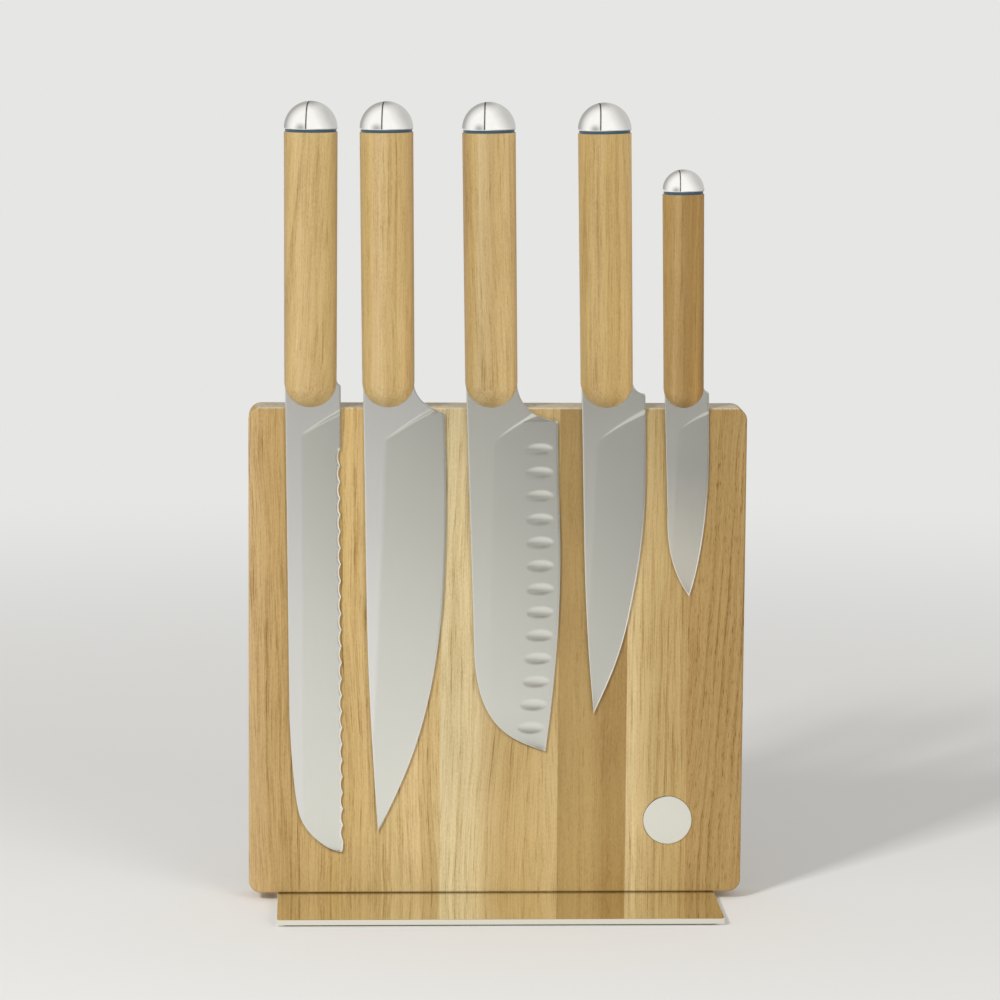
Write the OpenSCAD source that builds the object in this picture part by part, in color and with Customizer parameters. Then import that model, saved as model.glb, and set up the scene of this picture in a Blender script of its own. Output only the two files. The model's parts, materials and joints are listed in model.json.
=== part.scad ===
// Magnetic knife stand: an oak board on a polished plate, with five knives that
// hang flat on its front face. Millimetres. X runs to the right, -Y towards the
// viewer, +Z up. The origin is the middle of the footprint, on the worktop.

/* [Board] */
// Width of the board
board_w = 237; // [220:1:260]
// Height of the board
board_h = 235; // [230:1:260]
// Thickness of the board, front and rear layer together
board_t = 23; // [20:0.5:30]
// Thickness of the front layer of staves
front_t = 8; // [7:0.5:10]
// Radius of the board's four corners, seen from the front
corner_r = 6; // [3:0.5:12]
// Radius of the rounded edges around the front and rear faces
edge_r = 1.2; // [0.5:0.1:2]

/* [Staves] */
// Width of front stave 1, at the left edge
front_stave_1_w = 91.7; // [70:0.1:100]
// Width of front stave 2
front_stave_2_w = 56.4; // [40:0.1:66]
// Width of front stave 3
front_stave_3_w = 32.9; // [25:0.1:42]
// Width of front stave 4; front stave 5 takes the rest
front_stave_4_w = 29.1; // [20:0.1:38]
// Width of rear stave 1, at the left edge
rear_stave_1_w = 58.5; // [40:0.1:70]
// Width of rear stave 2
rear_stave_2_w = 60; // [40:0.1:70]
// Width of rear stave 3; rear stave 4 takes the rest
rear_stave_3_w = 58; // [40:0.1:70]

/* [Base] */
// Width of the base plate
plate_w = 210.4; // [190:0.1:230]
// Thickness of the base plate
plate_t = 2.7; // [2.7:0.1:5]
// How far the plate reaches out in front of and behind the board
plate_reach = 54.5; // [35:0.5:70]
// Sideways offset of the plate from the middle of the board
plate_shift = 0.5; // [-2:0.1:2]
// Radius of the plate's corners, seen from above
plate_corner_r = 1.5; // [0.5:0.1:8]
// Thickness of the anti-slip pad under the plate
pad_t = 1; // [0.6:0.1:3]
// Distance of the pad's edge from the plate's edge
pad_inset = 3; // [1:0.5:8]

/* [Base screws] */
// Number of base screws
screw_count = 4; // [2:1:6]
// Distance from one base screw to the next
screw_pitch = 58; // [35:0.5:62]
// Diameter of the screw's shank
screw_d = 5; // [4:0.1:6]
// Diameter of the screw's countersunk head
screw_head_d = 9.2; // [8:0.1:10]
// Height of the screw's countersunk head
screw_head_t = 2.3; // [1.5:0.1:2.5]
// Length of screw above the plate
screw_grip = 10; // [6:0.5:14]
// Diameter of the threaded insert
insert_d = 8; // [7:0.1:9]
// Length of the threaded insert
insert_len = 12; // [11:0.5:16]

/* [Magnets] */
// Diameter of a magnet
magnet_d = 18; // [12:0.5:20]
// Thickness of a magnet
magnet_t = 5; // [3:0.5:6]
// Depth of the first row of magnets below the top of the board
magnet_row_depth = 23; // [20:1:30]
// Distance from one row of magnets to the next
magnet_row_pitch = 40; // [28:1:45]
// Largest number of rows
magnet_rows = 4; // [1:1:4]
// Height of a steel yoke strip behind a row
yoke_h = 20; // [18:0.5:26]
// Thickness of a yoke strip
yoke_t = 1.5; // [1:0.1:3]
// How far a yoke strip runs past the centre of its last magnet
yoke_end = 12; // [10:0.5:14]

/* [Medallion] */
// Diameter of the medallion
medal_d = 23.4; // [16:0.1:30]
// Thickness of the medallion's disc
medal_t = 2; // [1.5:0.1:3]
// How far the disc stands out of the board
medal_proud = 0.6; // [0.2:0.1:1]
// Diameter of the peg behind the disc
medal_peg_d = 5; // [3:0.1:7]
// Length of the peg
medal_peg_len = 4; // [2:0.1:5]
// Place of the medallion, to the right of the board's middle
medal_x = 82.8; // [60:0.1:90]
// Height of the medallion's centre above the foot of the board
medal_h = 35.4; // [25:0.1:60]

/* [Large handles] */
// Diameter at the cap
handle_d = 25.2; // [22:0.1:28]
// How much thinner the handle is at its nose
handle_taper = 0.4; // [0:0.1:2]
// Length from the centre of the round nose to the spacer ring
handle_len = 117.5; // [90:0.1:130]
// Thickness of the blade plate
blade_t = 2.5; // [2:0.1:3.5]
// Width of the flat tang inside the handle
tang_w = 12; // [8:0.5:15]
// How far the flat tang reaches into the handle
tang_len = 40; // [25:1:60]

/* [Small handle] */
// Diameter at the cap
small_handle_d = 19.7; // [17:0.1:22]
// How much thinner the small handle is at its nose
small_handle_taper = 0.6; // [0:0.1:2]
// Length from the centre of the round nose to the spacer ring
small_handle_len = 91.9; // [75:0.1:110]
// Thickness of the small blade plate
small_blade_t = 2; // [1.6:0.1:3]
// Width of the small flat tang
small_tang_w = 10; // [8:0.5:12]
// How far the small flat tang reaches into the handle
small_tang_len = 32; // [20:1:50]

/* [Handle fittings] */
// Diameter of the round rod between tang and cap
rod_d = 6; // [4:0.1:7]
// How far the rod reaches into the cap
rod_bite = 7; // [4:0.1:8]
// How far the full width of the blade plate reaches into the handle
shoulder = 6; // [3:0.5:12]
// How far the blade plate lies inside the side of the nose
plate_inset = 0.3; // [0.2:0.1:1]
// Thickness of the spacer ring
ring_t = 1.5; // [0.6:0.1:3]
// How much smaller in radius the spacer ring is than the cap
ring_step = 0.5; // [0.2:0.1:1.5]
// Height of the straight skirt below the round part of the cap
cap_skirt = 0.3; // [0.2:0.1:5]

/* [Blades] */
// Thickness left along the cutting edge
edge_t = 0.3; // [0.2:0.1:0.8]
// Rise of the line where the grind ends below the handle, in degrees
plunge_angle = 33; // [20:1:50]
// Steepness of the ramp at that line: depth for each millimetre along it
plunge_slope = 0.5; // [0.3:0.05:1]

/* [Bread knife] */
// Handle axis, from the middle of the board
bread_x = -89.2; // [-92:0.1:-87]
// Lean of the knife to the left, in degrees
bread_lean = 0; // [0:0.05:2]
// Length from the centre of the nose to the tip
bread_len = 227; // [200:0.5:235]
// Distance of the last tooth point from the handle axis
bread_edge = 16; // [14:0.1:18]
// Distance of the first tooth point from the handle axis
bread_edge_top = 14.1; // [13:0.1:15]
// Distance of the plain edge above the teeth from the handle axis
bread_plain_edge = 14.3; // [13.5:0.1:16]
// Depth of the heel below the centre of the nose
bread_heel = 2.1; // [2:0.1:6]
// Height of the straight spine's lower end above the tip
bread_drop = 66; // [50:1:90]
// Length of plain edge from the heel to the first scallop
bread_plain = 30.1; // [20:0.1:40]
// Distance from one tooth point to the next
tooth_pitch = 7.9; // [5:0.05:10]
// Depth of a scallop between two teeth
tooth_depth = 1; // [0.6:0.1:1.8]
// Place of the grind's top end, across and down from the centre of the nose
bread_grind = [-4.2, -26.8]; // [-50:0.1:10]

/* [Chef's knife] */
// Handle axis, from the middle of the board
chef_x = -52.4; // [-53:0.1:-49]
// Lean of the knife to the left, in degrees
chef_lean = 0.63; // [0:0.01:2]
// Length from the centre of the nose to the tip
chef_len = 217.3; // [200:0.5:235]
// Distance of the edge from the handle axis
chef_edge = 27.1; // [24:0.1:29]
// Depth of the heel below the centre of the nose
chef_heel = 15.1; // [14:0.1:25]
// Distance of the tip from the handle axis, towards the spine
chef_tip = 6.6; // [2:0.1:9]
// Height above the tip where the edge turns in towards it
chef_belly = 69.3; // [50:0.1:90]
// Height of the straight spine's lower end above the tip
chef_drop = 114; // [90:1:130]
// Place of the grind's top end, across and down from the centre of the nose
chef_grind = [-2, -28.5]; // [-50:0.1:10]

/* [Santoku] */
// Handle axis, from the middle of the board
santoku_x = -3.65; // [-5:0.05:0]
// Lean of the knife to the left, in degrees
santoku_lean = 0.94; // [0:0.01:2]
// Length from the centre of the nose to the tip
santoku_len = 178.5; // [160:0.1:200]
// Distance of the edge from the handle axis
santoku_edge = 32.2; // [28:0.1:35]
// Depth of the heel below the centre of the nose
santoku_heel = 19.2; // [16:0.1:25]
// Length of nearly straight edge below the heel
santoku_flat = 58; // [40:1:80]
// Distance of the tip from the handle axis, towards the edge
santoku_tip = 24.3; // [20:0.1:28]
// Height of the straight spine's lower end above the tip
santoku_drop = 50; // [35:1:70]
// Depth of the spine's top end below the centre of the nose
santoku_rise = 31; // [10:1:50]
// Place of the grind's top end, across and down from the centre of the nose
santoku_grind = [1.3, -28.3]; // [-50:0.1:10]
// Number of hollows along the edge
hollow_count = 13; // [4:1:13]
// Length of a hollow, across the blade
hollow_len = 13.4; // [8:0.1:14]
// Height of a hollow, along the blade
hollow_h = 5.4; // [3:0.1:8]
// Depth of a hollow
hollow_depth = 0.3; // [0.1:0.05:0.4]
// Distance from one hollow to the next
hollow_pitch = 11.2; // [9:0.1:12]
// Depth of the first hollow below the centre of the nose
hollow_start = 32.7; // [28:0.1:40]
// Distance from the edge to the middle of the hollows
hollow_back = 8.7; // [8:0.1:14]

/* [Utility knife] */
// Handle axis, from the middle of the board
utility_x = 51.1; // [48:0.1:54]
// Lean of the knife to the left, in degrees
utility_lean = 1.06; // [0:0.01:2]
// Length from the centre of the nose to the tip
utility_len = 159.8; // [130:0.1:180]
// Distance of the edge from the handle axis
utility_edge = 18.3; // [16:0.1:22]
// Depth of the heel below the centre of the nose
utility_heel = 6; // [5:0.1:12]
// Distance of the tip from the handle axis, towards the spine
utility_tip = 7.5; // [3:0.1:9]
// Height above the tip where the edge turns in towards it
utility_belly = 41.9; // [30:0.1:60]
// Depths of the bent spine's lower and upper bend below the centre of the nose
utility_bends = [68, 8]; // [1:1:100]
// Place of the grind's top end, across and down from the centre of the nose
utility_grind = [-4.3, -27.9]; // [-50:0.1:10]

/* [Paring knife] */
// Handle axis, from the middle of the board
paring_x = 87.75; // [85:0.05:92]
// Lean of the knife to the left, in degrees
paring_lean = 0.84; // [0:0.01:2]
// Length from the centre of the nose to the tip
paring_len = 100.3; // [80:0.1:120]
// Distance of the edge from the handle axis
paring_edge = 12; // [10.5:0.1:15]
// Depth of the heel below the centre of the nose
paring_heel = 2.1; // [2:0.1:6]
// Distance of the tip from the handle axis, towards the edge
paring_tip = 2.5; // [0:0.1:5]
// Height above the tip where the edge turns in towards it
paring_belly = 17.6; // [10:0.1:30]
// Height above the tip where the spine bends
paring_drop = 44; // [30:1:60]
// Place of the grind's top end, across and down from the centre of the nose
paring_grind = [-2.7, -20]; // [-40:0.1:10]

/* [Clearances] */
// Gap between a handle's nose and the top of the board it stands on
seat_gap = 0.25; // [0.1:0.05:0.5]
// Gap around the tang, the rod and the peg in their holes
fit_gap = 0.1; // [0.05:0.05:0.3]
// Gap around the medallion, the magnets and the yoke strips
recess_gap = 0.15; // [0.1:0.05:0.4]

/* [Hidden] */
$fn = 96;
eps = 1;

// Heights of the stack on the worktop
plate_z = pad_t;
board_z = plate_z + plate_t;
board_top = board_z + board_h;

// Faces of the board and of the joint between its layers
front_y = -board_t / 2;
glue_y = front_y + front_t;
rear_t = board_t - front_t;
plate_d = board_t + 2 * plate_reach;

// Left edge of each stave, and the right edge of the last one
function running_sum(w, i) = i == 0 ? 0 : running_sum(w, i - 1) + w[i - 1];
front_w = [front_stave_1_w, front_stave_2_w, front_stave_3_w, front_stave_4_w];
rear_w = [rear_stave_1_w, rear_stave_2_w, rear_stave_3_w];
front_joints = [for (i = [0:4]) -board_w / 2 + running_sum(front_w, i), board_w / 2];
rear_joints = [for (i = [0:3]) -board_w / 2 + running_sum(rear_w, i), board_w / 2];

// The knives, from left to right
BREAD = 0;
CHEF = 1;
SANTOKU = 2;
UTILITY = 3;
PARING = 4;
knife_x = [bread_x, chef_x, santoku_x, utility_x, paring_x];
knife_lean = [bread_lean, chef_lean, santoku_lean, utility_lean, paring_lean];
knife_len = [bread_len, chef_len, santoku_len, utility_len, paring_len];
knife_edge = [bread_edge, chef_edge, santoku_edge, utility_edge, paring_edge];

function is_small(k) = k == PARING;
function cap_r(k) = (is_small(k) ? small_handle_d : handle_d) / 2;
function nose_r(k) = cap_r(k) - (is_small(k) ? small_handle_taper : handle_taper) / 2;
function grip_len(k) = is_small(k) ? small_handle_len : handle_len;
function steel_t(k) = is_small(k) ? small_blade_t : blade_t;
function steel_half(k) = nose_r(k) - plate_inset;
function tang_width(k) = is_small(k) ? small_tang_w : tang_w;
function tang_top(k) = is_small(k) ? small_tang_len : tang_len;
function nose_z(k) = board_top + seat_gap + nose_r(k);

// Middle of a blade, where its magnets sit, and the depth its tip reaches below the top
function magnet_x(k) = knife_x[k] + (knife_edge[k] - steel_half(k)) / 2;
function tip_depth(k) = knife_len[k] - nose_r(k) - seat_gap;
function row_depth(j) = magnet_row_depth + j * magnet_row_pitch;
function row_z(j) = board_top - row_depth(j);
function has_magnet(k, j) = row_depth(j) + magnet_d < tip_depth(k);
function row_knives(j) = [for (k = [BREAD:PARING]) if (has_magnet(k, j)) k];

// Points of a cubic curve from a to d that is pulled towards b and c, without the last one
function curve(a, b, c, d, n = 14) = [
    for (i = [0:n - 1])
        let (t = i / n, u = 1 - t)
        u * u * u * a + 3 * u * u * t * b + 3 * u * t * t * c + t * t * t * d
];

// ---------- Board ----------

module rounded_plan(w, h, r) {
    translate([r, r]) {
        square([w - 2 * r, h - 2 * r]);
    }
    translate([0, r]) {
        square([w, h - 2 * r]);
    }
    translate([r, 0]) {
        square([w - 2 * r, h]);
    }
    for (x = [r, w - r], y = [r, h - r]) {
        translate([x, y]) circle(r);
    }
}

// What a rounding plane takes off a square edge that lies at the origin
module edge_waste(r) {
    difference() {
        translate([-eps, -eps]) square(r + eps);
        translate([r, r]) circle(r);
    }
}

// Takes the edges off the face of the board that lies at y = 0, with the board behind it
module face_rounding(w, h, r_corner, r) {
    straight_x = w - 2 * r_corner;
    straight_z = h - 2 * r_corner;
    for (side = [0, 1]) {
        // Bottom and top edges
        translate([-straight_x / 2, 0, side * h]) mirror([0, 0, side])
            rotate([90, 0, 90]) linear_extrude(straight_x) edge_waste(r);
        // Left and right edges
        mirror([side, 0, 0]) translate([-w / 2, 0, r_corner])
            linear_extrude(straight_z) edge_waste(r);
        // Corners
        for (end = [0, 1])
            mirror([side, 0, 0])
                translate([-straight_x / 2, 0, end == 0 ? r_corner : h - r_corner])
                mirror([0, 0, end])
                rotate([-90, 0, 0]) rotate([0, 0, 90])
                rotate_extrude(angle = 90)
                mirror([1, 0]) translate([-r_corner, 0]) edge_waste(r);
    }
}

// One layer of the board, between two values of y, before it is cut into staves
module board_slab(y0, t) {
    translate([-board_w / 2, y0 + t, board_z])
        rotate([90, 0, 0]) linear_extrude(t) rounded_plan(board_w, board_h, corner_r);
}

module stave_range(x0, x1) {
    translate([x0, -board_t, 0]) cube([x1 - x0, 2 * board_t, 2 * board_top]);
}

module magnet_pockets() {
    for (j = [0:magnet_rows - 1], k = row_knives(j))
        translate([magnet_x(k), glue_y - magnet_t, row_z(j)])
            rotate([-90, 0, 0]) cylinder(d = magnet_d + 2 * recess_gap, h = magnet_t + eps);
}

// A yoke strip fills the height given and runs past its last magnets at both ends
module yoke_row(j, gap, y0, t) {
    row = row_knives(j);
    if (len(row) > 0) {
        x0 = magnet_x(row[0]) - yoke_end - gap;
        x1 = magnet_x(row[len(row) - 1]) + yoke_end + gap;
        translate([x0, y0, row_z(j) - yoke_h / 2 - gap]) cube([x1 - x0, t, yoke_h + 2 * gap]);
    }
}

module medal_recess() {
    depth = medal_t - medal_proud;
    translate([medal_x, front_y, board_z + medal_h]) rotate([-90, 0, 0]) {
        translate([0, 0, -eps]) cylinder(d = medal_d + 2 * recess_gap, h = depth + eps);
        cylinder(d = medal_peg_d + 2 * fit_gap, h = depth + medal_peg_len + fit_gap);
    }
}

module front_stave(i) {
    color("burlywood") difference() {
        intersection() {
            board_slab(front_y, front_t);
            stave_range(front_joints[i], front_joints[i + 1]);
        }
        translate([0, front_y, board_z]) face_rounding(board_w, board_h, corner_r, edge_r);
        magnet_pockets();
        medal_recess();
    }
}

module rear_stave(i) {
    color("tan") difference() {
        intersection() {
            board_slab(glue_y, rear_t);
            stave_range(rear_joints[i], rear_joints[i + 1]);
        }
        translate([0, board_t / 2, board_z]) mirror([0, 1, 0])
            face_rounding(board_w, board_h, corner_r, edge_r);
        for (j = [0:magnet_rows - 1]) yoke_row(j, recess_gap, glue_y - eps, yoke_t + eps);
        at_screws() cylinder(d = insert_d + 2 * fit_gap, h = insert_len + fit_gap);
    }
}

module magnets() {
    color("silver")
        for (j = [0:magnet_rows - 1], k = row_knives(j))
            translate([magnet_x(k), glue_y - magnet_t, row_z(j)])
                rotate([-90, 0, 0]) cylinder(d = magnet_d, h = magnet_t);
}

module yoke_strips() {
    color("gray") for (j = [0:magnet_rows - 1]) yoke_row(j, 0, glue_y, yoke_t);
}

module medallion() {
    chamfer = medal_proud / 3;
    color("gainsboro") translate([medal_x, front_y - medal_proud, board_z + medal_h])
        rotate([-90, 0, 0]) {
            cylinder(d1 = medal_d - 2 * chamfer, d2 = medal_d, h = chamfer);
            translate([0, 0, chamfer]) cylinder(d = medal_d, h = medal_t - chamfer);
            cylinder(d = medal_peg_d, h = medal_t + medal_peg_len);
        }
}

// ---------- Base ----------

// Places its children at the foot of the board, on each screw's axis
module at_screws() {
    for (i = [0:screw_count - 1])
        translate([(i - (screw_count - 1) / 2) * screw_pitch, glue_y + rear_t / 2, board_z])
            children();
}

// A 90 degree countersink that opens downwards to diameter d at the plate's underside
module countersunk(shank, head, grip) {
    translate([0, 0, -plate_t]) {
        cylinder(d1 = head, d2 = shank, h = screw_head_t);
        cylinder(d = shank, h = plate_t + grip);
    }
}

module base_plate() {
    color("lightsteelblue") difference() {
        translate([plate_shift - plate_w / 2, -plate_d / 2, plate_z])
            linear_extrude(plate_t) rounded_plan(plate_w, plate_d, plate_corner_r);
        at_screws() countersunk(screw_d + 4 * fit_gap, screw_head_d + 4 * fit_gap, eps);
    }
}

module base_pad() {
    w = plate_w - 2 * pad_inset;
    d = plate_d - 2 * pad_inset;
    color("dimgray") translate([plate_shift - w / 2, -d / 2, 0])
        linear_extrude(pad_t) rounded_plan(w, d, plate_corner_r);
}

module base_screws() {
    color("darkgray") at_screws() countersunk(screw_d, screw_head_d, screw_grip);
}

module threaded_inserts() {
    color("goldenrod") at_screws() difference() {
        cylinder(d = insert_d, h = insert_len);
        translate([0, 0, -eps]) cylinder(d = screw_d + fit_gap, h = insert_len + 2 * eps);
    }
}

// ---------- Knives ----------

// Moves its children from a knife's own frame to its place on the board. A knife's
// own frame has its origin in the centre of the round nose, +Z up the handle and +X
// towards the edge of the blade.
module at_knife(k) {
    translate([knife_x[k], front_y - steel_t(k) / 2, nose_z(k)])
        rotate([0, -knife_lean[k], 0]) children();
}

// Everything on the side of a plane that its normal n points to; p lies on the plane
module half_space(p, n) {
    size = 2 * max(knife_len);
    translate(p) rotate([0, acos(n[2] / norm(n)), atan2(n[1], n[0])])
        translate([-size / 2, -size / 2, 0]) cube(size);
}

// The main grind of one side: from the grind line down to the thin edge. The line
// starts at place p and drifts by drift millimetres to the spine for each one down.
module main_grind(k, p, edge, drift) {
    t = steel_t(k);
    slope = (t - edge_t) / 2 / (edge - p[0]);
    start = [p[0], -t / 2, p[1]];
    down = [plunge_slope * sin(plunge_angle), -1, -plunge_slope * cos(plunge_angle)];
    intersection() {
        half_space(start, [slope, -1, -slope * drift]);
        half_space(start, down);
    }
}

// The grind towards the tip: thin along the line from a to b, thicker towards the spine
module tip_grind(k, a, b, width) {
    t = steel_t(k);
    depth = (t - edge_t) / 2;
    along = (b - a) / norm(b - a);
    out = [along[1], -along[0]];
    half_space([a[0], depth - t / 2, a[1]], [depth / width * out[0], -1, depth / width * out[1]]);
}

// The part of every blade's outline that lies inside the handle: shoulders and flat tang
function tang_points(k) = let (s = steel_half(k), w = tang_width(k) / 2, top = tang_top(k))
    [[-s, shoulder], [-w, shoulder], [-w, top], [w, top], [w, shoulder], [s, shoulder]];

// A blade plate with its tang. The children are cut from both sides.
module blade(k, outline) {
    t = steel_t(k);
    color("silver") at_knife(k) difference() {
        rotate([90, 0, 0]) linear_extrude(t, center = true)
            polygon(concat(tang_points(k), outline));
        children();
        mirror([0, 1, 0]) children();
    }
}

module bread_blade() {
    s = steel_half(BREAD);
    heel = [bread_plain_edge, -bread_heel];
    plain_end = heel - [0, bread_plain];
    tip = [bread_edge - 0.9, -bread_len];
    turn = tip + [-20.3, 18.55];
    spine_end = [-s + 2.2, -bread_len + bread_drop];
    teeth = floor((bread_len - bread_heel - bread_plain) / tooth_pitch);
    tooth_drift = (bread_edge - bread_edge_top) / (teeth - 1);
    tooth_points = [
        for (i = [1:teeth])
            [bread_edge_top + (i - 1) * tooth_drift, plain_end[1] - i * tooth_pitch]
    ];
    outline = concat(
        curve([s, 1.5], [s + 0.3, 0.7], [s + 0.1, -bread_heel + 1.2], heel),
        [heel, plain_end],
        tooth_points,
        curve(tip, tip + [-7.6, 0.1], turn + [2.4, -8.95], turn),
        curve(turn, turn + [-2.95, 11.05], spine_end + [0.5, -10.8], spine_end)
    );
    scallop_r = (pow(tooth_pitch / 2, 2) + pow(tooth_depth, 2)) / (2 * tooth_depth);
    difference() {
        blade(BREAD, concat(outline, [spine_end]))
            main_grind(BREAD, bread_grind, bread_edge, 0);
        color("silver") at_knife(BREAD)
            for (point = tooth_points)
                translate([point[0] - tooth_depth + scallop_r, 0, point[1] + tooth_pitch / 2])
                    rotate([90, 0, 0]) cylinder(r = scallop_r, h = 2 * blade_t, center = true);
    }
}

module chef_blade() {
    s = steel_half(CHEF);
    e = chef_edge;
    heel = [e - 0.9, -chef_heel];
    flat_end = [e, -chef_heel - 34.9];
    belly = [e - 7.9, -chef_len + chef_belly];
    tip = [-chef_tip, -chef_len];
    spine_end = [-s + 0.9, -chef_len + chef_drop];
    outline = concat(
        curve([s, -0.4], [s, -chef_heel + 6.9], heel + [-6.5, 1.3], heel),
        [heel, [e - 0.6, -chef_heel - 1]],
        curve(flat_end, flat_end - [0, 37.2], belly + [5.8, 27.5], belly),
        curve(belly, belly - [5.7, 27], tip + [12.7, 24.9], tip),
        curve(tip, tip + [-2.1, 34], spine_end + [0.1, -37.9], spine_end)
    );
    blade(CHEF, outline) {
        main_grind(CHEF, chef_grind, e, 0.05);
        tip_grind(CHEF, tip, belly, 28);
    }
}

module santoku_blade() {
    s = steel_half(SANTOKU);
    e = santoku_edge;
    heel = [e - 1.1, -santoku_heel];
    belly = [e, -santoku_heel - santoku_flat];
    tip = [santoku_tip, -santoku_len];
    drop = [-s + 2.6, -santoku_len + santoku_drop];
    outline = concat(
        curve([s, 0.5], [s, -santoku_heel + 5], heel + [-6.5, 0.3], heel),
        [heel, [e - 0.8, -santoku_heel - 1], [e - 0.7, -santoku_heel - 32]],
        curve(belly, belly - [0, 22], tip + [7, 48], tip),
        curve(tip, tip + [-13.7, 5], drop + [0.7, -40.8], drop),
        [drop, [-s + 0.6, -santoku_rise]]
    );
    slope = atan((blade_t - edge_t) / 2 / (e - santoku_grind[0]));
    difference() {
        blade(SANTOKU, outline) main_grind(SANTOKU, santoku_grind, e, 0.03);
        color("silver") at_knife(SANTOKU)
            for (i = [0:hollow_count - 1], side = [0, 1])
                mirror([0, side, 0]) hollow(i, slope);
    }
}

// One hollow of the santoku: a slim barrel, laid across the blade and sunk into its ground face
module hollow(i, slope) {
    depth = hollow_start + i * hollow_pitch;
    past_belly = max(0, depth - santoku_heel - santoku_flat) / (santoku_len - santoku_heel - santoku_flat);
    x = santoku_edge - (santoku_edge - santoku_tip) * pow(past_belly, 1.8) - hollow_back;
    face_y = -blade_t / 2 + (x - santoku_grind[0]) * tan(slope);
    barrel_r = (pow(hollow_h / 2, 2) + pow(hollow_depth, 2)) / (2 * hollow_depth);
    bend_r = (pow(hollow_len / 2, 2) + pow(hollow_depth, 2)) / (2 * hollow_depth);
    half = hollow_len / 2 + 0.4;
    translate([x, face_y + hollow_depth - barrel_r, -depth]) rotate([0, 90, slope])
        rotate_extrude() intersection() {
            translate([barrel_r - bend_r, 0]) circle(bend_r);
            translate([0, -half]) square([barrel_r + eps, 2 * half]);
        }
}

module utility_blade() {
    s = steel_half(UTILITY);
    e = utility_edge;
    heel = [e - 0.2, -utility_heel];
    flat_end = [e, -utility_heel - 24];
    belly = [e - 9.7, -utility_len + utility_belly];
    tip = [-utility_tip, -utility_len];
    outline = concat(
        curve([s, 1], [s + 0.3, -utility_heel + 2.7], [s + 2.5, -utility_heel + 0.3], heel),
        [heel, [e, -utility_heel - 0.3]],
        curve(flat_end, flat_end - [0, 36], belly + [8.1, 36], belly),
        curve(belly, belly - [4.2, 17], tip + [6.4, 13.5], tip),
        curve(tip, tip + [-5, 57], [-s + 0.9, -utility_bends[0]], [-s + 0.1, -utility_bends[1]])
    );
    blade(UTILITY, outline) {
        main_grind(UTILITY, utility_grind, e, 0.06);
        tip_grind(UTILITY, tip, belly, 20);
    }
}

module paring_blade() {
    s = steel_half(PARING);
    e = paring_edge;
    heel = [e - 0.2, -paring_heel];
    flat_end = [e, -paring_heel - 28.7];
    tip = [paring_tip, -paring_len];
    bend = [-s + 1.3, -paring_len + paring_drop];
    belly = [e - 4.8, -paring_len + paring_belly];
    outline = concat(
        curve([s, 1], [s + 0.3, 0.2], [s + 0.2, -paring_heel + 1], heel),
        [heel, [e, -paring_heel - 0.3]],
        curve(flat_end, flat_end - [0, 20.6], tip + [6.8, 20.2], tip),
        curve(tip, tip + [-14, 19.5], bend + [0.9, -1], bend)
    );
    blade(PARING, outline) {
        main_grind(PARING, paring_grind, e, 0.05);
        tip_grind(PARING, tip, belly, 13);
    }
}

module tang_rod(k) {
    rod_len = grip_len(k) + ring_t + rod_bite - tang_top(k);
    color("gray") at_knife(k) translate([0, 0, tang_top(k)]) cylinder(d = rod_d, h = rod_len);
}

module handle(k) {
    color(is_small(k) ? "peru" : "burlywood") at_knife(k) difference() {
        union() {
            cylinder(r1 = nose_r(k), r2 = cap_r(k), h = grip_len(k));
            sphere(r = nose_r(k));
        }
        // Slot for the blade plate
        translate([-2 * cap_r(k), -steel_t(k) / 2, -2 * nose_r(k)])
            cube([4 * cap_r(k), steel_t(k), 2 * nose_r(k) + shoulder]);
        // Mortise for the flat tang
        translate([-tang_width(k) / 2 - fit_gap, -steel_t(k) / 2, 0])
            cube([tang_width(k) + 2 * fit_gap, steel_t(k), tang_top(k)]);
        // Bore for the rod
        translate([0, 0, tang_top(k) - eps])
            cylinder(d = rod_d + 2 * fit_gap, h = grip_len(k) - tang_top(k) + 2 * eps);
    }
}

module spacer_ring(k) {
    color("midnightblue") at_knife(k) translate([0, 0, grip_len(k)]) difference() {
        cylinder(r = cap_r(k) - ring_step, h = ring_t);
        translate([0, 0, -eps]) cylinder(d = rod_d + 2 * fit_gap, h = ring_t + 2 * eps);
    }
}

module end_cap(k) {
    color("gainsboro") at_knife(k) translate([0, 0, grip_len(k) + ring_t]) difference() {
        union() {
            cylinder(r = cap_r(k), h = cap_skirt);
            translate([0, 0, cap_skirt]) intersection() {
                sphere(r = cap_r(k));
                cylinder(r = 2 * cap_r(k), h = 2 * cap_r(k));
            }
        }
        translate([0, 0, -eps]) cylinder(d = rod_d + 2 * fit_gap, h = rod_bite + eps);
    }
}

base_plate();
base_pad();
base_screws();
threaded_inserts();
front_stave(0);  // front_stave_1
front_stave(1);  // front_stave_2
front_stave(2);  // front_stave_3
front_stave(3);  // front_stave_4
front_stave(4);  // front_stave_5
rear_stave(0);  // rear_stave_1
rear_stave(1);  // rear_stave_2
rear_stave(2);  // rear_stave_3
rear_stave(3);  // rear_stave_4
magnets();
yoke_strips();
medallion();
bread_blade();
tang_rod(BREAD);  // bread_tang_rod
handle(BREAD);  // bread_handle
spacer_ring(BREAD);  // bread_spacer_ring
end_cap(BREAD);  // bread_end_cap
chef_blade();
tang_rod(CHEF);  // chef_tang_rod
handle(CHEF);  // chef_handle
spacer_ring(CHEF);  // chef_spacer_ring
end_cap(CHEF);  // chef_end_cap
santoku_blade();
tang_rod(SANTOKU);  // santoku_tang_rod
handle(SANTOKU);  // santoku_handle
spacer_ring(SANTOKU);  // santoku_spacer_ring
end_cap(SANTOKU);  // santoku_end_cap
utility_blade();
tang_rod(UTILITY);  // utility_tang_rod
handle(UTILITY);  // utility_handle
spacer_ring(UTILITY);  // utility_spacer_ring
end_cap(UTILITY);  // utility_end_cap
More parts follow.
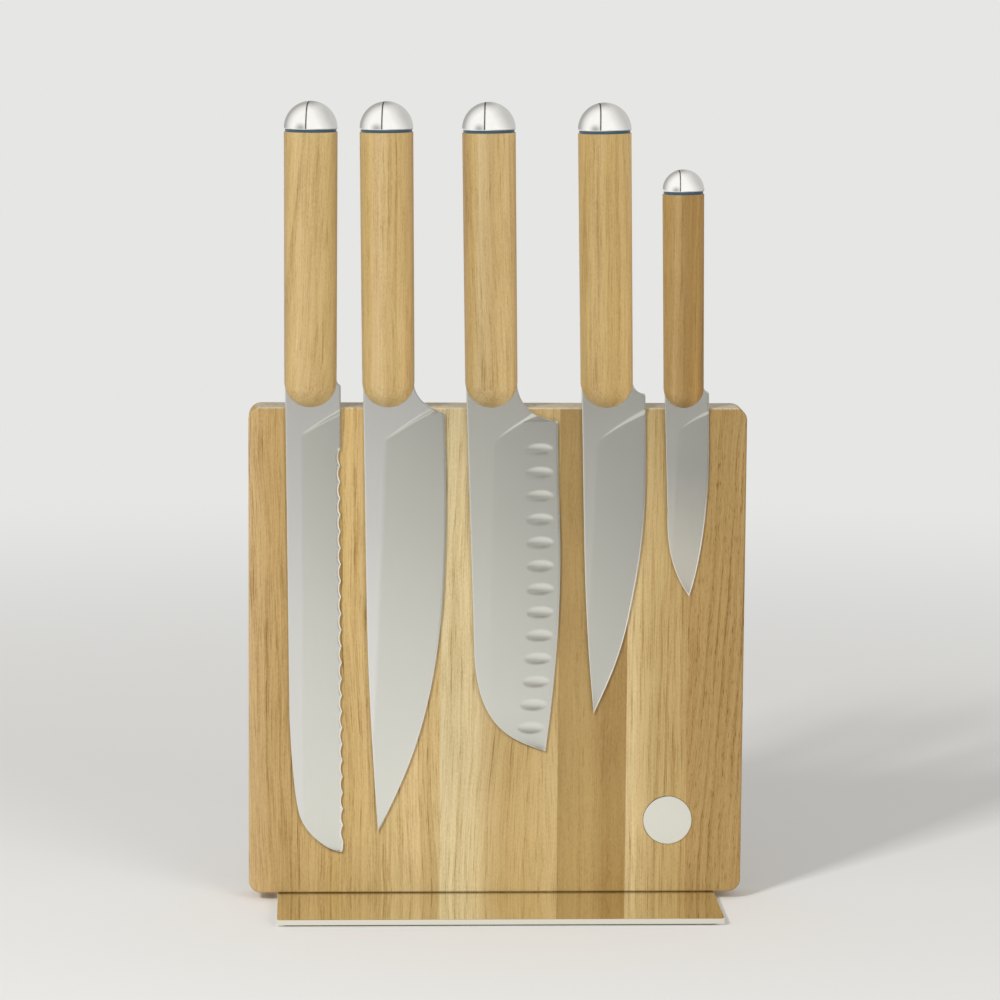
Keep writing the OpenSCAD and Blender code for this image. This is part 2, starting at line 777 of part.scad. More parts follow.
paring_blade();
tang_rod(PARING);  // paring_tang_rod
handle(PARING);  // paring_handle
spacer_ring(PARING);  // paring_spacer_ring
end_cap(PARING);  // paring_end_cap
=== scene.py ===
"""Looks of the magnetic knife stand: an oak board on a polished plate, with five knives on its face.

Lengths in the classes are millimetres unless a name says otherwise; Blender works in metres.
"""

from __future__ import annotations

import json
import logging
import math
from bisect import bisect_left
from dataclasses import dataclass
from enum import Enum
from functools import partial
from typing import Any, Callable, Sequence

import bmesh
import bpy
from mathutils import Matrix, Vector

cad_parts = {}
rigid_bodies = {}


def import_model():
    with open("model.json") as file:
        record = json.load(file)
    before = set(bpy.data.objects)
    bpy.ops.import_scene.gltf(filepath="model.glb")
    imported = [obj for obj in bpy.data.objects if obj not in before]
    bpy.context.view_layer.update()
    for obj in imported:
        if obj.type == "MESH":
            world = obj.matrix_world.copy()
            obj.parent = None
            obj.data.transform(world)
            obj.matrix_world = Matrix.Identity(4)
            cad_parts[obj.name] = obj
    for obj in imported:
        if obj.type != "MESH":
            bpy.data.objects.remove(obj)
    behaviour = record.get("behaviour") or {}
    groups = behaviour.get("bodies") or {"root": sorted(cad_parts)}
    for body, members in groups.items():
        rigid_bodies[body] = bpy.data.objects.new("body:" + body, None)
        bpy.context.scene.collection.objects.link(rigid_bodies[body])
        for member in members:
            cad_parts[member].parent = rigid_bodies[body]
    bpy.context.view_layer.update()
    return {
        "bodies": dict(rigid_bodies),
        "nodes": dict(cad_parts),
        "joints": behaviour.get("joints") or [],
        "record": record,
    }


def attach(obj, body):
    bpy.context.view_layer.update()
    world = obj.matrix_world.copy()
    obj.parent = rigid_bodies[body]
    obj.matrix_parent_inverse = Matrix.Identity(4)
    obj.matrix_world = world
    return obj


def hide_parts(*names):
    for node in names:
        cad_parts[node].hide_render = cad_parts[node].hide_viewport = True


log = logging.getLogger("knife_stand")

MM = 0.001
WHITE = (1.0, 1.0, 1.0, 1.0)
EVEN_LINE = (0.6, 0.6, 0.6)  # size of the polishing lines that run every way
Colour = tuple[float, float, float, float]
Point = tuple[float, float]  # a place on a drawing, or any other pair
Point3 = tuple[float, float, float]  # a place in space, or any other three
Span = tuple[float, float, float, float]  # left, right, front and back
Sides = tuple[list[Point], list[Point]]
Nodes = dict[str, bpy.types.Object]
Materials = dict[str, bpy.types.Material]
Socket = bpy.types.NodeSocket
Add = Callable[..., Any]  # adds a node to one tree and gives back its outputs


# ---------- Small helpers ----------


def linear(code: str, gain: float = 1.0) -> Colour:
    """Turns an sRGB hex colour into linear red, green, blue and alpha.

    Args:
        code: six hex digits, with or without a leading hash.
        gain: factor on the linear values.

    Returns:
        The linear colour with an alpha of 1.
    """
    code = code.lstrip("#")
    values = [int(code[i : i + 2], 16) / 255 for i in (0, 2, 4)]
    parts = [v / 12.92 if v <= 0.04045 else ((v + 0.055) / 1.055) ** 2.4 for v in values]
    return (parts[0] * gain, parts[1] * gain, parts[2] * gain, 1.0)


def add_node(
    tree: bpy.types.NodeTree,
    kind: str,
    inputs: dict[str | int, Any] | Sequence[Any] = (),
    stops: Sequence[tuple[float, float | Colour]] = (),
    **settings: Any,
) -> bpy.types.NodeOutputs:
    """Adds a node with its settings, its input values or links, and the stops of a colour ramp.

    Args:
        tree: the node tree that gets the node.
        kind: the node's type name without its first word, ShaderNode.
        inputs: values, or the sockets that feed them, in order or by socket name or number.
        stops: places with greys or colours, for a colour ramp.
        settings: attributes of the node.

    Returns:
        The new node's outputs.
    """
    node = tree.nodes.new(f"ShaderNode{kind}")
    for key, value in settings.items():
        setattr(node, key, value)
    for key, value in inputs.items() if isinstance(inputs, dict) else enumerate(inputs):
        if isinstance(value, bpy.types.NodeSocket):
            tree.links.new(value, node.inputs[key])
        else:
            node.inputs[key].default_value = value
    if stops:
        elements = node.color_ramp.elements
        while len(elements) < len(stops):
            elements.new(1.0)
        for element, (place, tone) in zip(elements, stops):
            element.position = place
            element.color = (tone, tone, tone, 1.0) if isinstance(tone, float) else tone
    return node.outputs


def start_nodes(owner: bpy.types.Material | bpy.types.World) -> Add:
    """Empties a node tree.

    Args:
        owner: the material or world that it belongs to.

    Returns:
        The function that adds a node to it.
    """
    owner.use_nodes = True
    owner.node_tree.nodes.clear()
    return partial(add_node, owner.node_tree)


def smoothstep(low: float, high: float, value: float) -> float:
    """Rises smoothly from 0 at low to 1 at high."""
    t = min(max((value - low) / (high - low), 0.0), 1.0)
    return t * t * (3 - 2 * t)


def curve(a: Point, b: Point, c: Point, d: Point, steps: int = 28) -> list[Point]:
    """Lays points along a cubic curve.

    Args:
        a: its start.
        b: what it is pulled towards near the start.
        c: what it is pulled towards near the end.
        d: its end.
        steps: number of stretches between the points.

    Returns:
        The points, both ends included.
    """
    points = []
    for i in range(steps + 1):
        t = i / steps
        u = 1 - t
        w = (u**3, 3 * u * u * t, 3 * u * t * t, t**3)
        points.append(tuple(sum(k * p[axis] for k, p in zip(w, (a, b, c, d))) for axis in (0, 1)))
    return points


def link_mesh(bm: bmesh.types.BMesh, name: str) -> bpy.types.Object:
    """Puts a finished bmesh into the scene.

    Args:
        bm: the mesh in metres. It is freed.
        name: name of the object.

    Returns:
        The object, at the origin.
    """
    mesh = bpy.data.meshes.new(name)
    bm.to_mesh(mesh)
    bm.free()
    piece = bpy.data.objects.new(name, mesh)
    bpy.context.scene.collection.objects.link(piece)
    return piece


def new_piece(bm: bmesh.types.BMesh, name: str, body: str, sharp_deg: float = 32.0) -> bpy.types.Object:
    """Makes an object of a finished bmesh, shades it, and lets it ride on a body.

    Args:
        bm: the finished mesh in metres, in the stand's frame. It is freed.
        name: name of the piece.
        body: body that it moves with.
        sharp_deg: edges that turn more than this stay crisp.

    Returns:
        The object.
    """
    limit = math.radians(sharp_deg)
    for face in bm.faces:
        face.smooth = True
    for edge in bm.edges:
        edge.smooth = edge.is_manifold and edge.calc_face_angle(math.pi) < limit
    piece = link_mesh(bm, name)
    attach(piece, body)
    return piece


def flat_faces_first(piece: bpy.types.Object) -> None:
    """Keeps large flat faces flat in their shading where they meet a rounded edge.

    Args:
        piece: the object.
    """
    modifier = piece.modifiers.new("flat_faces_first", "WEIGHTED_NORMAL")
    modifier.keep_sharp = True
    modifier.weight = 100


def soften(bm: bmesh.types.BMesh, edges: Sequence[bmesh.types.BMEdge], width: float) -> None:
    """Rounds edges a little.

    Args:
        bm: the mesh.
        edges: the edges that get it.
        width: width of the rounding, in the unit of the mesh.
    """
    bmesh.ops.bevel(
        bm, geom=edges, offset=width, affect="EDGES", segments=2, profile=0.5, material=-1, clamp_overlap=True
    )


def dress(piece: bpy.types.Object, material: bpy.types.Material) -> None:
    """Gives a piece one material."""
    piece.data.materials.clear()
    piece.data.materials.append(material)


# ---------- Finishes ----------


@dataclass(frozen=True)
class Finish:
    """A material with what makes its surface.

    Attributes:
        name: name of the material.
    """

    name: str

    def surface(self, add: Add) -> Socket:
        """Lays out the surface.

        Args:
            add: adds a node to the material.

        Returns:
            The shader.
        """
        raise NotImplementedError

    def build(self) -> bpy.types.Material:
        """Builds the material.

        Returns:
            The material.
        """
        material = bpy.data.materials.new(self.name)
        add = start_nodes(material)
        add("OutputMaterial", (self.surface(add),))
        return material


@dataclass(frozen=True)
class OakFinish(Finish):
    """Oiled oak, sawn along the grain and sanded: warm, matt, with fine dark pores.

    Attributes:
        tones: places across the piece from 0 to 1, with the colour there: the wood's mean colour, and on a
            handle painted light as well.
        across: lowest and highest x between which the tones are laid out.
        seed: moves the grain, so that no two pieces carry the same one.
        fade: heights, with a factor on the tone there: painted light and shade that changes the tone with
            height.
        lean: lean of the grain from the vertical, in degrees.
        ring: mean width of a growth ring on the face.
        ring_depth: how dark the early wood of a ring gets.
        streak_depth: contrast of the fine streaks.
        dash: length of the fine dark dashes.
        pore_depth: how dark the dashes get.
        wander: how far the grain wanders sideways.
        wobble: how far it wobbles over a short length.
        warm: how far dark wood turns to brown.
        end_from: height above which the end grain shows, with its painted sheen.
        end_grain_sheen_tone: colour of the end grain, greyer and lighter than the wood: partly the end
            grain's own colour, partly painted sheen that lightens and greys the top face.
        ring_tone: how dark the wood is over the width of one ring, from 0 to 1.
        lift: factor on the tones, which makes up for the streaks and pores that darken them.
    """

    tones: tuple[tuple[float, str], ...]
    across: Point
    seed: float
    fade: tuple[Point, ...] = ((0.0, 1.0), (1.0, 1.0))
    lean: float = 0.0
    ring: float = 4.5
    ring_depth: float = 0.4
    streak_depth: float = 1.0
    dash: float = 14.0
    pore_depth: float = 0.5
    wander: float = 5.0
    wobble: float = 0.5
    warm: float = 1.0
    end_from: float = 1000.0
    end_grain_sheen_tone: str = "#c8bda5"
    ring_tone: tuple[Point, ...] = ((0.0, 1.0), (0.1, 0.7), (0.3, 0.2), (0.55, 0.0), (0.9, 0.0), (1.0, 0.9))
    lift: float = 1.2

    def surface(self, add: Add) -> Socket:
        """Lays out grain, rings, streaks and pores, the tones across the piece, and the painted light and
        shade up it.

        Args:
            add: adds a node to the material.

        Returns:
            The shader.
        """
        mm = add("VectorMath", {0: add("TexCoord")["Object"], "Scale": 1 / MM}, operation="SCALE")[0]
        start = tuple(self.seed * step for step in (37.0, 11.0, 91.0))
        turn = (0.0, math.radians(self.lean), 0.0)
        grain = add("Mapping", {"Vector": mm, "Location": start, "Rotation": turn})[0]

        # On the straight grain: slow sway, small ripple, blotches and flecks. Each row has the size of the
        # grains, how many finer layers they carry and how strong those are, and how far they bend the grain.
        straight = (
            ((38.0, 38.0, 150.0), 2.0, 0.5, self.wander),
            ((7.0, 7.0, 26.0), 2.0, 0.5, self.wobble),
            ((22.0, 22.0, 60.0), 2.0, 0.5, 0.0),
            ((0.6, 0.6, 1.5), 1.0, 0.5, 0.0),
        )
        # On the bent grain: uneven rings, patches, pores, streaks and broad bands. Pores are 0.2 mm wide in
        # oak; they are drawn 0.45 mm wide so that they show.
        bent = (
            ((11.0, 14.0, 240.0), 1.0, 0.5, 0.0),
            ((self.ring * 1.4, self.ring * 1.4, 80.0), 2.0, 0.6, 0.0),
            ((0.45, 0.6, self.dash), 1.0, 0.5, 0.0),
            ((0.62, 0.8, 30.0), 3.0, 0.7, 0.0),
            ((2.4, 2.6, 120.0), 3.0, 0.6, 0.0),
        )
        place, patterns = grain, []
        shift: Any = -self.wander - self.wobble
        for rows in (straight, bent):
            for size, detail, rough, sway in rows:
                scaled = add("Mapping", {"Vector": place, "Scale": tuple(1 / s for s in size)})[0]
                noise = {"Vector": scaled, "Scale": 1.0, "Detail": detail, "Roughness": rough}
                patterns.append(add("TexNoise", noise)[0])
                if sway:
                    shift = add("Math", (patterns[-1], 2 * sway, shift), operation="MULTIPLY_ADD")[0]
            place = add("VectorMath", (grain, add("CombineXYZ", (shift,))[0]), operation="ADD")[0]
        _, _, blotches, flecks, uneven, patch, pores, streaks, broad = patterns
        side, deep, _ = add("SeparateXYZ", (place,))

        # Growth rings of uneven width: a dark line of early wood that fades into pale late wood
        count = add("Math", (deep, 0.55, side), operation="MULTIPLY_ADD")[0]
        count = add("Math", (count, 1 / self.ring), operation="MULTIPLY")[0]
        count = add("Math", (uneven, 2.2, count), operation="MULTIPLY_ADD")[0]
        ring = add("ValToRGB", (add("Math", (count,), operation="FRACT")[0],), self.ring_tone)[0]
        patch = add("MapRange", (patch, 0.36, 0.62, 0.1, 1.0))[0]
        ring = add("Math", (ring, patch), operation="MULTIPLY")[0]

        pores = add("MapRange", (pores, 0.56, 0.70))[0]
        crowd = add("Math", (ring, 0.6, 0.5), operation="MULTIPLY_ADD")[0]
        pores = add("Math", (pores, crowd), operation="MULTIPLY")[0]

        # Streaks, bands, blotches and flecks around a middle level, less the rings and pores
        level: Any = 0.27 - 0.85 * self.streak_depth
        for pattern, contrast in (
            (streaks, self.streak_depth),
            (broad, 0.7 * self.streak_depth),
            (blotches, 0.3),
            (flecks, 0.4),
            (ring, -self.ring_depth),
            (pores, -self.pore_depth),
        ):
            level = add("Math", (pattern, contrast, level), operation="MULTIPLY_ADD")[0]
        w = self.warm
        shade = add(
            "ValToRGB",
            (level,),
            (
                (0.0, (0.47 - 0.02 * w, 0.40 - 0.05 * w, 0.30 - 0.08 * w, 1.0)),
                (0.3, (0.68 - 0.01 * w, 0.64 - 0.03 * w, 0.56 - 0.06 * w, 1.0)),
                (0.62, (0.87, 0.865, 0.85, 1.0)),
                (1.0, (1.05, 1.06, 1.06, 1.0)),
            ),
        )[0]

        # The tones across, which drift with the grain, then the painted light and shade that changes them
        # with height
        x, _, z = add("SeparateXYZ", (mm,))
        x = add("Math", (shift, 0.35, x), operation="MULTIPLY_ADD")[0]
        where = add("MapRange", (x, *self.across))[0]
        tone = add("ValToRGB", (where,), [(p, linear(c, self.lift)) for p, c in self.tones])[0]
        top = self.fade[-1][0]
        height = add("Math", (z, 1 / top), operation="MULTIPLY")[0]
        light = add("ValToRGB", (height,), [(h / top, factor) for h, factor in self.fade])[0]
        tone = add("Mix", {0: 1.0, 6: tone, 7: light}, data_type="RGBA", blend_type="MULTIPLY")[2]
        # The end grain on top, in a colour that carries painted sheen
        end = add("MapRange", (z, self.end_from, self.end_from + 0.6))[0]
        tone = add("Mix", {0: end, 6: tone, 7: linear(self.end_grain_sheen_tone, self.lift)}, data_type="RGBA")[2]
        colour = add("Mix", {0: 1.0, 6: tone, 7: shade}, data_type="RGBA", blend_type="MULTIPLY")[2]

        dents = add("Math", (ring, -0.4), operation="MULTIPLY")[0]
        dents = add("Math", (dents, pores), operation="SUBTRACT")[0]
        dents = add("Math", (streaks, 0.5, dents), operation="MULTIPLY_ADD")[0]
        bump = add("Bump", {"Height": dents, "Strength": 0.3, "Distance": 0.06 * MM})[0]
        rough = add("Math", (pores, 0.2, 0.48), operation="MULTIPLY_ADD")[0]
        surface = {"Base Color": colour, "Roughness": rough, "Normal": bump, "IOR": 1.45}
        return add("BsdfPrincipled", surface)[0]


@dataclass(frozen=True)
class SteelFinish(Finish):
    """Stainless steel, rolled or ground and then polished to the grade given.

    Attributes:
        colour: colour of the metal.
        ground_colour: colour of the ground faces of a blade; none on a piece that has none.
        roughness: roughness of the flats.
        ground_roughness: roughness of the ground faces.
        line: size of a polishing line along each axis.
        depth: how much the lines change the tone.
        painted_ramp_colour: colour of the short ramp above the ground faces: painted light, lighter than the
            steel as a painted highlight, darker as painted shade.
        edge_highlight_colour: pale colour of the cutting bevel, which is not metal there: a painted highlight
            along the edge.
        tip_highlight_colour: lighter colour towards the tip: a painted highlight.
        tip_highlight_span: heights between which that colour comes in; none leaves it out.
        wear: size of the patches that are a little rougher from use.
    """

    colour: str = "#dbdad6"
    ground_colour: str | None = "#dad9d1"
    roughness: float = 0.2
    ground_roughness: float = 0.22
    line: Point3 = (0.9, 0.9, 14.0)
    depth: float = 0.02
    painted_ramp_colour: str = "#efeee6"
    edge_highlight_colour: str = "#efe8de"
    tip_highlight_colour: str = "#f7f1e3"
    tip_highlight_span: Point | None = None
    wear: float = 34.0

    def surface(self, add: Add) -> Socket:
        """Lays out polishing lines and wear, the ground faces of a blade, the painted light and shade of its
        ramp, and the painted highlights on its cutting bevel and towards its tip.

        Args:
            add: adds a node to the material.

        Returns:
            The shader.
        """
        place = add("TexCoord")["Object"]
        fine = add("Mapping", {"Vector": place, "Scale": tuple(1 / MM / size for size in self.line)})[0]
        lines = add("TexNoise", {"Vector": fine, "Scale": 1.0, "Detail": 3.0, "Roughness": 0.6})[0]
        scale = 1 / (self.wear * MM)
        wear = add("TexNoise", {"Vector": place, "Scale": scale, "Detail": 2.0, "Roughness": 0.5})[0]
        colour: Any = linear(self.colour)
        rough: Any = self.roughness
        metal: Any = 1.0
        if self.ground_colour:
            ground, honed = (add("Attribute", attribute_name=name)["Fac"] for name in ("ground", "honed"))
            # Over the ground faces' colour go painted light and shade: a painted highlight towards the tip,
            # the ramp's painted tone as its colour sets, and on the cutting bevel a pale, non-metal painted
            # highlight.
            layers = [(ground, self.ground_colour)]
            if self.tip_highlight_span:
                z = add("SeparateXYZ", (place,))[2]
                layers.append((add("MapRange", (z, *(h * MM for h in self.tip_highlight_span)))[0], self.tip_highlight_colour))
            layers += [(add("MapRange", (ground, 1.0, 2.0))[0], self.painted_ramp_colour), (honed, self.edge_highlight_colour)]
            for share, code in layers:
                colour = add("Mix", {0: share, 6: colour, 7: linear(code)}, data_type="RGBA")[2]
            rough = add("MapRange", (ground, 0.0, 1.0, rough, self.ground_roughness))[0]
            metal = add("Math", (1.0, honed), operation="SUBTRACT")[0]
        else:
            colour = colour[:3]
        tone = add("MapRange", (lines, 0.3, 0.7, 1 - self.depth, 1.0))[0]
        colour = add("VectorMath", {0: colour, "Scale": tone}, operation="SCALE")[0]
        rough = add("Math", (wear, 0.06, rough), operation="MULTIPLY_ADD")[0]
        bump = add("Bump", {"Height": lines, "Strength": 0.12, "Distance": 0.01 * MM})[0]
        surface = {"Base Color": colour, "Metallic": metal, "Roughness": rough, "Normal": bump}
        return add("BsdfPrincipled", surface)[0]


@dataclass(frozen=True)
class PlainFinish(Finish):
    """A moulded, plated or turned surface of one colour with a fine mottle.

    Attributes:
        colour: base colour.
        roughness: mean roughness.
        metallic: 1 for a metal, 0 otherwise.
        mottle: size of the mottle.
        depth: how much the mottle changes tone and roughness.
    """

    colour: str
    roughness: float
    metallic: float
    mottle: float
    depth: float

    def surface(self, add: Add) -> Socket:
        """Lays out the mottle.

        Args:
            add: adds a node to the material.

        Returns:
            The shader.
        """
        place, scale = add("TexCoord")["Object"], 1 / (self.mottle * MM)
        grit = add("TexNoise", {"Vector": place, "Scale": scale, "Detail": 3.0, "Roughness": 0.6})[0]
        low, high = 1 - self.depth, 1 + self.depth
        tone = add("MapRange", (grit, 0.0, 1.0, low, high))[0]
        colour = add("VectorMath", {0: linear(self.colour)[:3], "Scale": tone}, operation="SCALE")[0]
        rough = add("MapRange", (grit, 0.0, 1.0, self.roughness * low, self.roughness * high))[0]
        bump = add("Bump", {"Height": grit, "Strength": 0.1, "Distance": 0.01 * MM})[0]
        surface = {"Base Color": colour, "Metallic": self.metallic, "Roughness": rough, "Normal": bump}
        return add("BsdfPrincipled", surface)[0]


# ---------- Pieces that keep the shape of their solid ----------


@dataclass
class SolidPiece:
    """A piece with the shape of its solid, with softened edges and smooth round faces.

    Attributes:
        node: name of the solid.
        body: body that it rides on.
        slot: material slot in the record; not used.
        soft: width of the softened edges; 0 leaves them crisp.
        merge: points that lie closer than this become one.
        flat_deg: faces that turn less than this from each other become one.
        crisp_deg: edges that turn more than this are softened.
    """

    node: str
    body: str
    slot: str
    soft: float = 0.0
    merge: float = 0.003
    flat_deg: float = 0.3
    crisp_deg: float = 50.0

    def build(self, nodes: Nodes, material: bpy.types.Material) -> bpy.types.Object:
        """Builds the piece from a merged copy of the solid, and dresses it.

        Args:
            nodes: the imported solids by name.
            material: its material.

        Returns:
            The piece, which stands for the solid.
        """
        bm = bmesh.new()
        bm.from_mesh(nodes[self.node].data)
        bmesh.ops.remove_doubles(bm, verts=bm.verts, dist=self.merge * MM)
        flat = math.radians(self.flat_deg)
        bmesh.ops.dissolve_limit(bm, angle_limit=flat, verts=bm.verts, edges=bm.edges, delimit={"NORMAL"})
        if self.soft:
            limit = math.radians(self.crisp_deg)
            soften(bm, [e for e in bm.edges if e.is_manifold and e.calc_face_angle() > limit], self.soft * MM)
        piece = new_piece(bm, f"{self.node}_piece", self.body)
        flat_faces_first(piece)
        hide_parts(self.node)
        dress(piece, material)
        return piece


# ---------- Blades ----------


class BladeKind(Enum):
    """The five knives of the set."""

    BREAD = "bread"
    CHEF = "chef"
    SANTOKU = "santoku"
    UTILITY = "utility"
    PARING = "paring"


@dataclass(frozen=True)
class HandleSize:
    """Sizes of a handle and of the blade plate that goes into it.

    Attributes:
        nose_r: radius of the round nose.
        cap_r: radius at the cap.
        length: from the centre of the nose to the spacer ring.
        plate_t: thickness of the blade plate.
        tang_w: width of the flat tang.
        tang_len: how far the flat tang reaches up.
        tone_half: half the width that the handle's tones are laid out over.
    """

    nose_r: float
    cap_r: float
    length: float
    plate_t: float
    tang_w: float
    tang_len: float
    tone_half: float

    @property
    def plate_half(self) -> float:
        """Half the width of the blade plate where it leaves the nose."""
        return self.nose_r - 0.3


LARGE = HandleSize(12.4, 12.6, 117.5, 2.5, 12.0, 40.0, 13.0)
SMALL = HandleSize(9.55, 9.85, 91.9, 2.0, 10.0, 32.0, 10.0)
SHOULDER = 6.0  # height where the blade plate ends, inside the nose

# The grind: a slightly hollow face that a ramp ends above
PLUNGE = math.radians(33)  # turn of the ramp's lower line from the horizontal
HOLLOW = 0.28  # share of the grind's depth that comes late, near the edge
NARROWEST = 0.6  # least width that the grind is spread over
RAMP_SLOPE, RAMP_STEEPER = 0.3, 0.14  # slope of the ramp at the spine, and what is added up to the edge
BLEND = 0.05  # depth over which the ground face and the ramp run into each other
RAMP_SEEN = 0.06  # depth at which the ramp has its full tone
RAMP_EARLY = 0.02  # how much deeper the ramp may be than the ground face where its tone starts
TONE_TURN = 0.7  # share of the way to the edge over which that tone turns from one value to the other
CORE = 0.06  # half the thickness that the grinds leave
THINNEST = 0.05  # least half thickness of the plate
TAPER, TAPER_FROM = 0.4, 0.35  # how much the plate thins to the tip, and where that starts

# The mesh of a blade
BORDER = (0.0, 0.0, 0.08, 0.2, 0.4)  # places of the columns along both sides
SCAN = 0.02  # step of the search for rows
ROW_GAP, ROW_TURN = 0.5, 0.55  # most height and most sideways step between two rows
SLOPE_STEP = 0.4  # step over which the slope of a side is taken
POINTED = 0.02  # a row narrower than this is closed
WELD = 0.004  # distance within which front and back are joined
SAME = 1e-4  # points of an outline closer in height than this are one
LEAST_COLUMNS = 20  # between the borders


class Outline:
    """One long side of a blade: its distance from the handle axis at each height."""

    def __init__(self, points: Sequence[Point]) -> None:
        """Sorts the points from the tip upwards and keeps one for each height.

        Args:
            points: places across and up.
        """
        self.heights: list[float] = []
        self.places: list[float] = []
        for x, z in sorted(points, key=lambda p: p[1]):
            if not self.heights or z > self.heights[-1] + SAME:
                self.heights.append(z)
                self.places.append(x)

    def at(self, z: float) -> float:
        """Finds the side at a height.

        Args:
            z: the height.

        Returns:
            The distance from the handle axis.
        """
        i = min(max(bisect_left(self.heights, z), 1), len(self.heights) - 1)
        z0, z1 = self.heights[i - 1], self.heights[i]
        t = min(max((z - z0) / (z1 - z0), 0.0), 1.0)
        return self.places[i - 1] * (1 - t) + self.places[i] * t


@dataclass
class Blade:
    """A blade with its tang, in the knife's own frame: origin in the centre of the nose.

    Attributes:
        kind: which knife it belongs to.
        size: the handle that it goes into.
        length: from the centre of the nose to the tip.
        edge: distance of the edge from the handle axis.
        heel: depth of the heel below the centre of the nose.
        tip: place of the tip, towards the edge if positive.
        grind: place of the grind's top end.
        drift: how far the grind line drifts to the spine for each millimetre down.
        bevel: width and slope of the cutting bevel.
        bow: how far the upper end of the grind bows up.
        edge_half: half the thickness left at the edge.
        rim: radius of the rounded spine and shoulders.
        ground_flats: how far the flats carry the finish of the ground faces.
        steel: its finish.
        honed: how strongly the painted highlight on the cutting bevel shows, with the heights where that
            starts and is reached.
        painted_ramp_share: how far the ramp above the grind takes its steel's painted ramp colour, at its
            lower end and at the edge.
    """

    kind: BladeKind
    size: HandleSize
    length: float
    edge: float
    heel: float
    tip: float
    grind: Point
    drift: float
    bevel: Point = (0.55, 0.3)
    bow: float = 0.8
    edge_half: float = 0.15
    rim: float = 0.35
    ground_flats: float = 0.0
    steel: str = "satin_steel"
    honed: Point3 = (0.0, 0.0, 0.0)
    painted_ramp_share: Point = (1.0, 0.4)

    def sides(self) -> Sides:
        """Points of the edge side and of the spine side."""
        raise NotImplementedError

    def bevel_top(self) -> float:
        """Height of the upper end of the cutting bevel."""
        return -self.heel

    def edge_line(self, z: float) -> float:
        """Distance of the line that the grind runs out to from the handle axis."""
        return self.edge_side.at(z)

    def relief(self, x: float, z: float) -> float:
        """Depth of what is sunk into the ground face."""
        return 0.0

    def rows(self) -> list[float]:
        """Spreads the rows of the mesh, closer where the outline turns.

        Returns:
            Their heights, from the shoulder down.
        """
        z, rows = SHOULDER, [SHOULDER]
        side = (self.spine_side.at(z), self.edge_side.at(z))
        while z > self.end_z + SCAN:
            z -= SCAN
            here = (self.spine_side.at(z), self.edge_side.at(z))
            turn = max(abs(here[0] - side[0]), abs(here[1] - side[1]))
            if rows[-1] - z >= ROW_GAP or turn >= ROW_TURN:
                rows.append(z)
                side = here
        return rows + [self.end_z]

    def across(self, i: int, columns: int, left: float, right: float) -> float:
        """Spreads the columns of the mesh, closer together along both sides.

        Args:
            i: number of the column.
            columns: number of the last one.
            left: the spine at this height.
            right: the edge at this height.

        Returns:
            The column's place across.
        """
        last, width = len(BORDER), right - left
        fit = min(1.0, width / 2.0)
        if i < last:
            return left + BORDER[i] * fit
        if i > columns - last:
            return right - BORDER[columns - i] * fit
        t = (i - last + 1) / (columns - 2 * last + 2)
        return left + BORDER[-1] * fit + t * (width - 2 * BORDER[-1] * fit)

    def cut(self, x: float, z: float, left: float, right: float, lean: float) -> Point3:
        """Works out how deep the surface lies below the flat of the plate.

        Args:
            x: place across.
            z: height.
            left: the spine at this height.
            right: the edge at this height.
            lean: cosine of the edge's turn from the vertical.

        Returns:
            The depth, how far the place counts as ground, from 0 to 1 or up to 2 on the ramp, where its
            painted tone comes in, and how far the cutting bevel takes its painted highlight.
        """
        half = self.size.plate_t / 2
        gx, gz = self.grind
        line = max(gx + self.drift * (z - gz), left)
        w = max((x - line) / max(self.edge_line(z) - line, NARROWEST), 0.0)
        ground = (half - self.edge_half - self.bevel[0] * self.bevel[1]) * ((1 - HOLLOW) * w + HOLLOW * w * w)
        cos, sin = math.cos(PLUNGE), math.sin(PLUNGE)
        a = min(max((cos * (x - gx) + sin * (z - gz)) * cos / (self.edge - gx), 0.0), 1.0)
        below = sin * (x - gx) - cos * (z - gz) + self.bow * 4 * a * (1 - a)
        ramp = (RAMP_SLOPE + RAMP_STEEPER * a) * max(below, 0.0)
        gap = max(BLEND - abs(ground - ramp), 0.0) / BLEND
        depth = max(min(ground, ramp) - gap * gap * BLEND / 4, 0.0)
        mark = max(smoothstep(0.0, BLEND, depth), self.ground_flats)
        # The ramp takes a painted tone from its steel: a painted highlight on most blades, painted shade on
        # the bread and chef's knives.
        at_grind, at_edge = self.painted_ramp_share
        tone = at_grind + (at_edge - at_grind) * smoothstep(0.0, TONE_TURN, a)
        mark += tone * smoothstep(-RAMP_EARLY, BLEND, ground - ramp) * min(ramp / RAMP_SEEN, 1.0)
        honed = 0.0
        d = (right - x) * lean
        if z < self.bevel_top() and d < self.bevel[0]:
            depth += self.bevel[1] * (self.bevel[0] - d)
            # Painted highlight on the cutting bevel, growing towards the tip
            strength, start, full_from = self.honed
            honed = strength * smoothstep(-start, -full_from, -z)
        return min(depth, half - CORE), mark, honed

    def surface(self, x: float, z: float) -> Point3:
        """Works out the surface at a place, with its rounded rims and the plate's taper.

        Args:
            x: place across.
            z: height.

        Returns:
            Half the thickness, how far the place counts as ground, and how far the cutting bevel takes its
            painted highlight.
        """
        half = self.size.plate_t / 2
        step = SLOPE_STEP
        edge, spine = self.edge_side, self.spine_side
        above = step if z + step < -self.heel or z > -self.heel else 0.0
        run_e = math.hypot(1, (edge.at(z + above) - edge.at(z - step)) / (above + step))
        run_s = math.hypot(1, (spine.at(z + step) - spine.at(z - step)) / (2 * step))
        depth, mark, honed = self.cut(x, z, spine.at(z), edge.at(z), 1 / run_e)
        rims = [(x - spine.at(z)) / run_s]
        if z > self.bevel_top():
            rims.append((edge.at(z) - x) / run_e)
        for d in rims:
            if d < self.rim:
                depth += self.rim - math.sqrt(self.rim**2 - (self.rim - d) ** 2)
        share = 1 - TAPER * smoothstep(TAPER_FROM, 1.0, -z / self.length)
        return max((half - depth) * share - self.relief(x, z), THINNEST), mark, honed

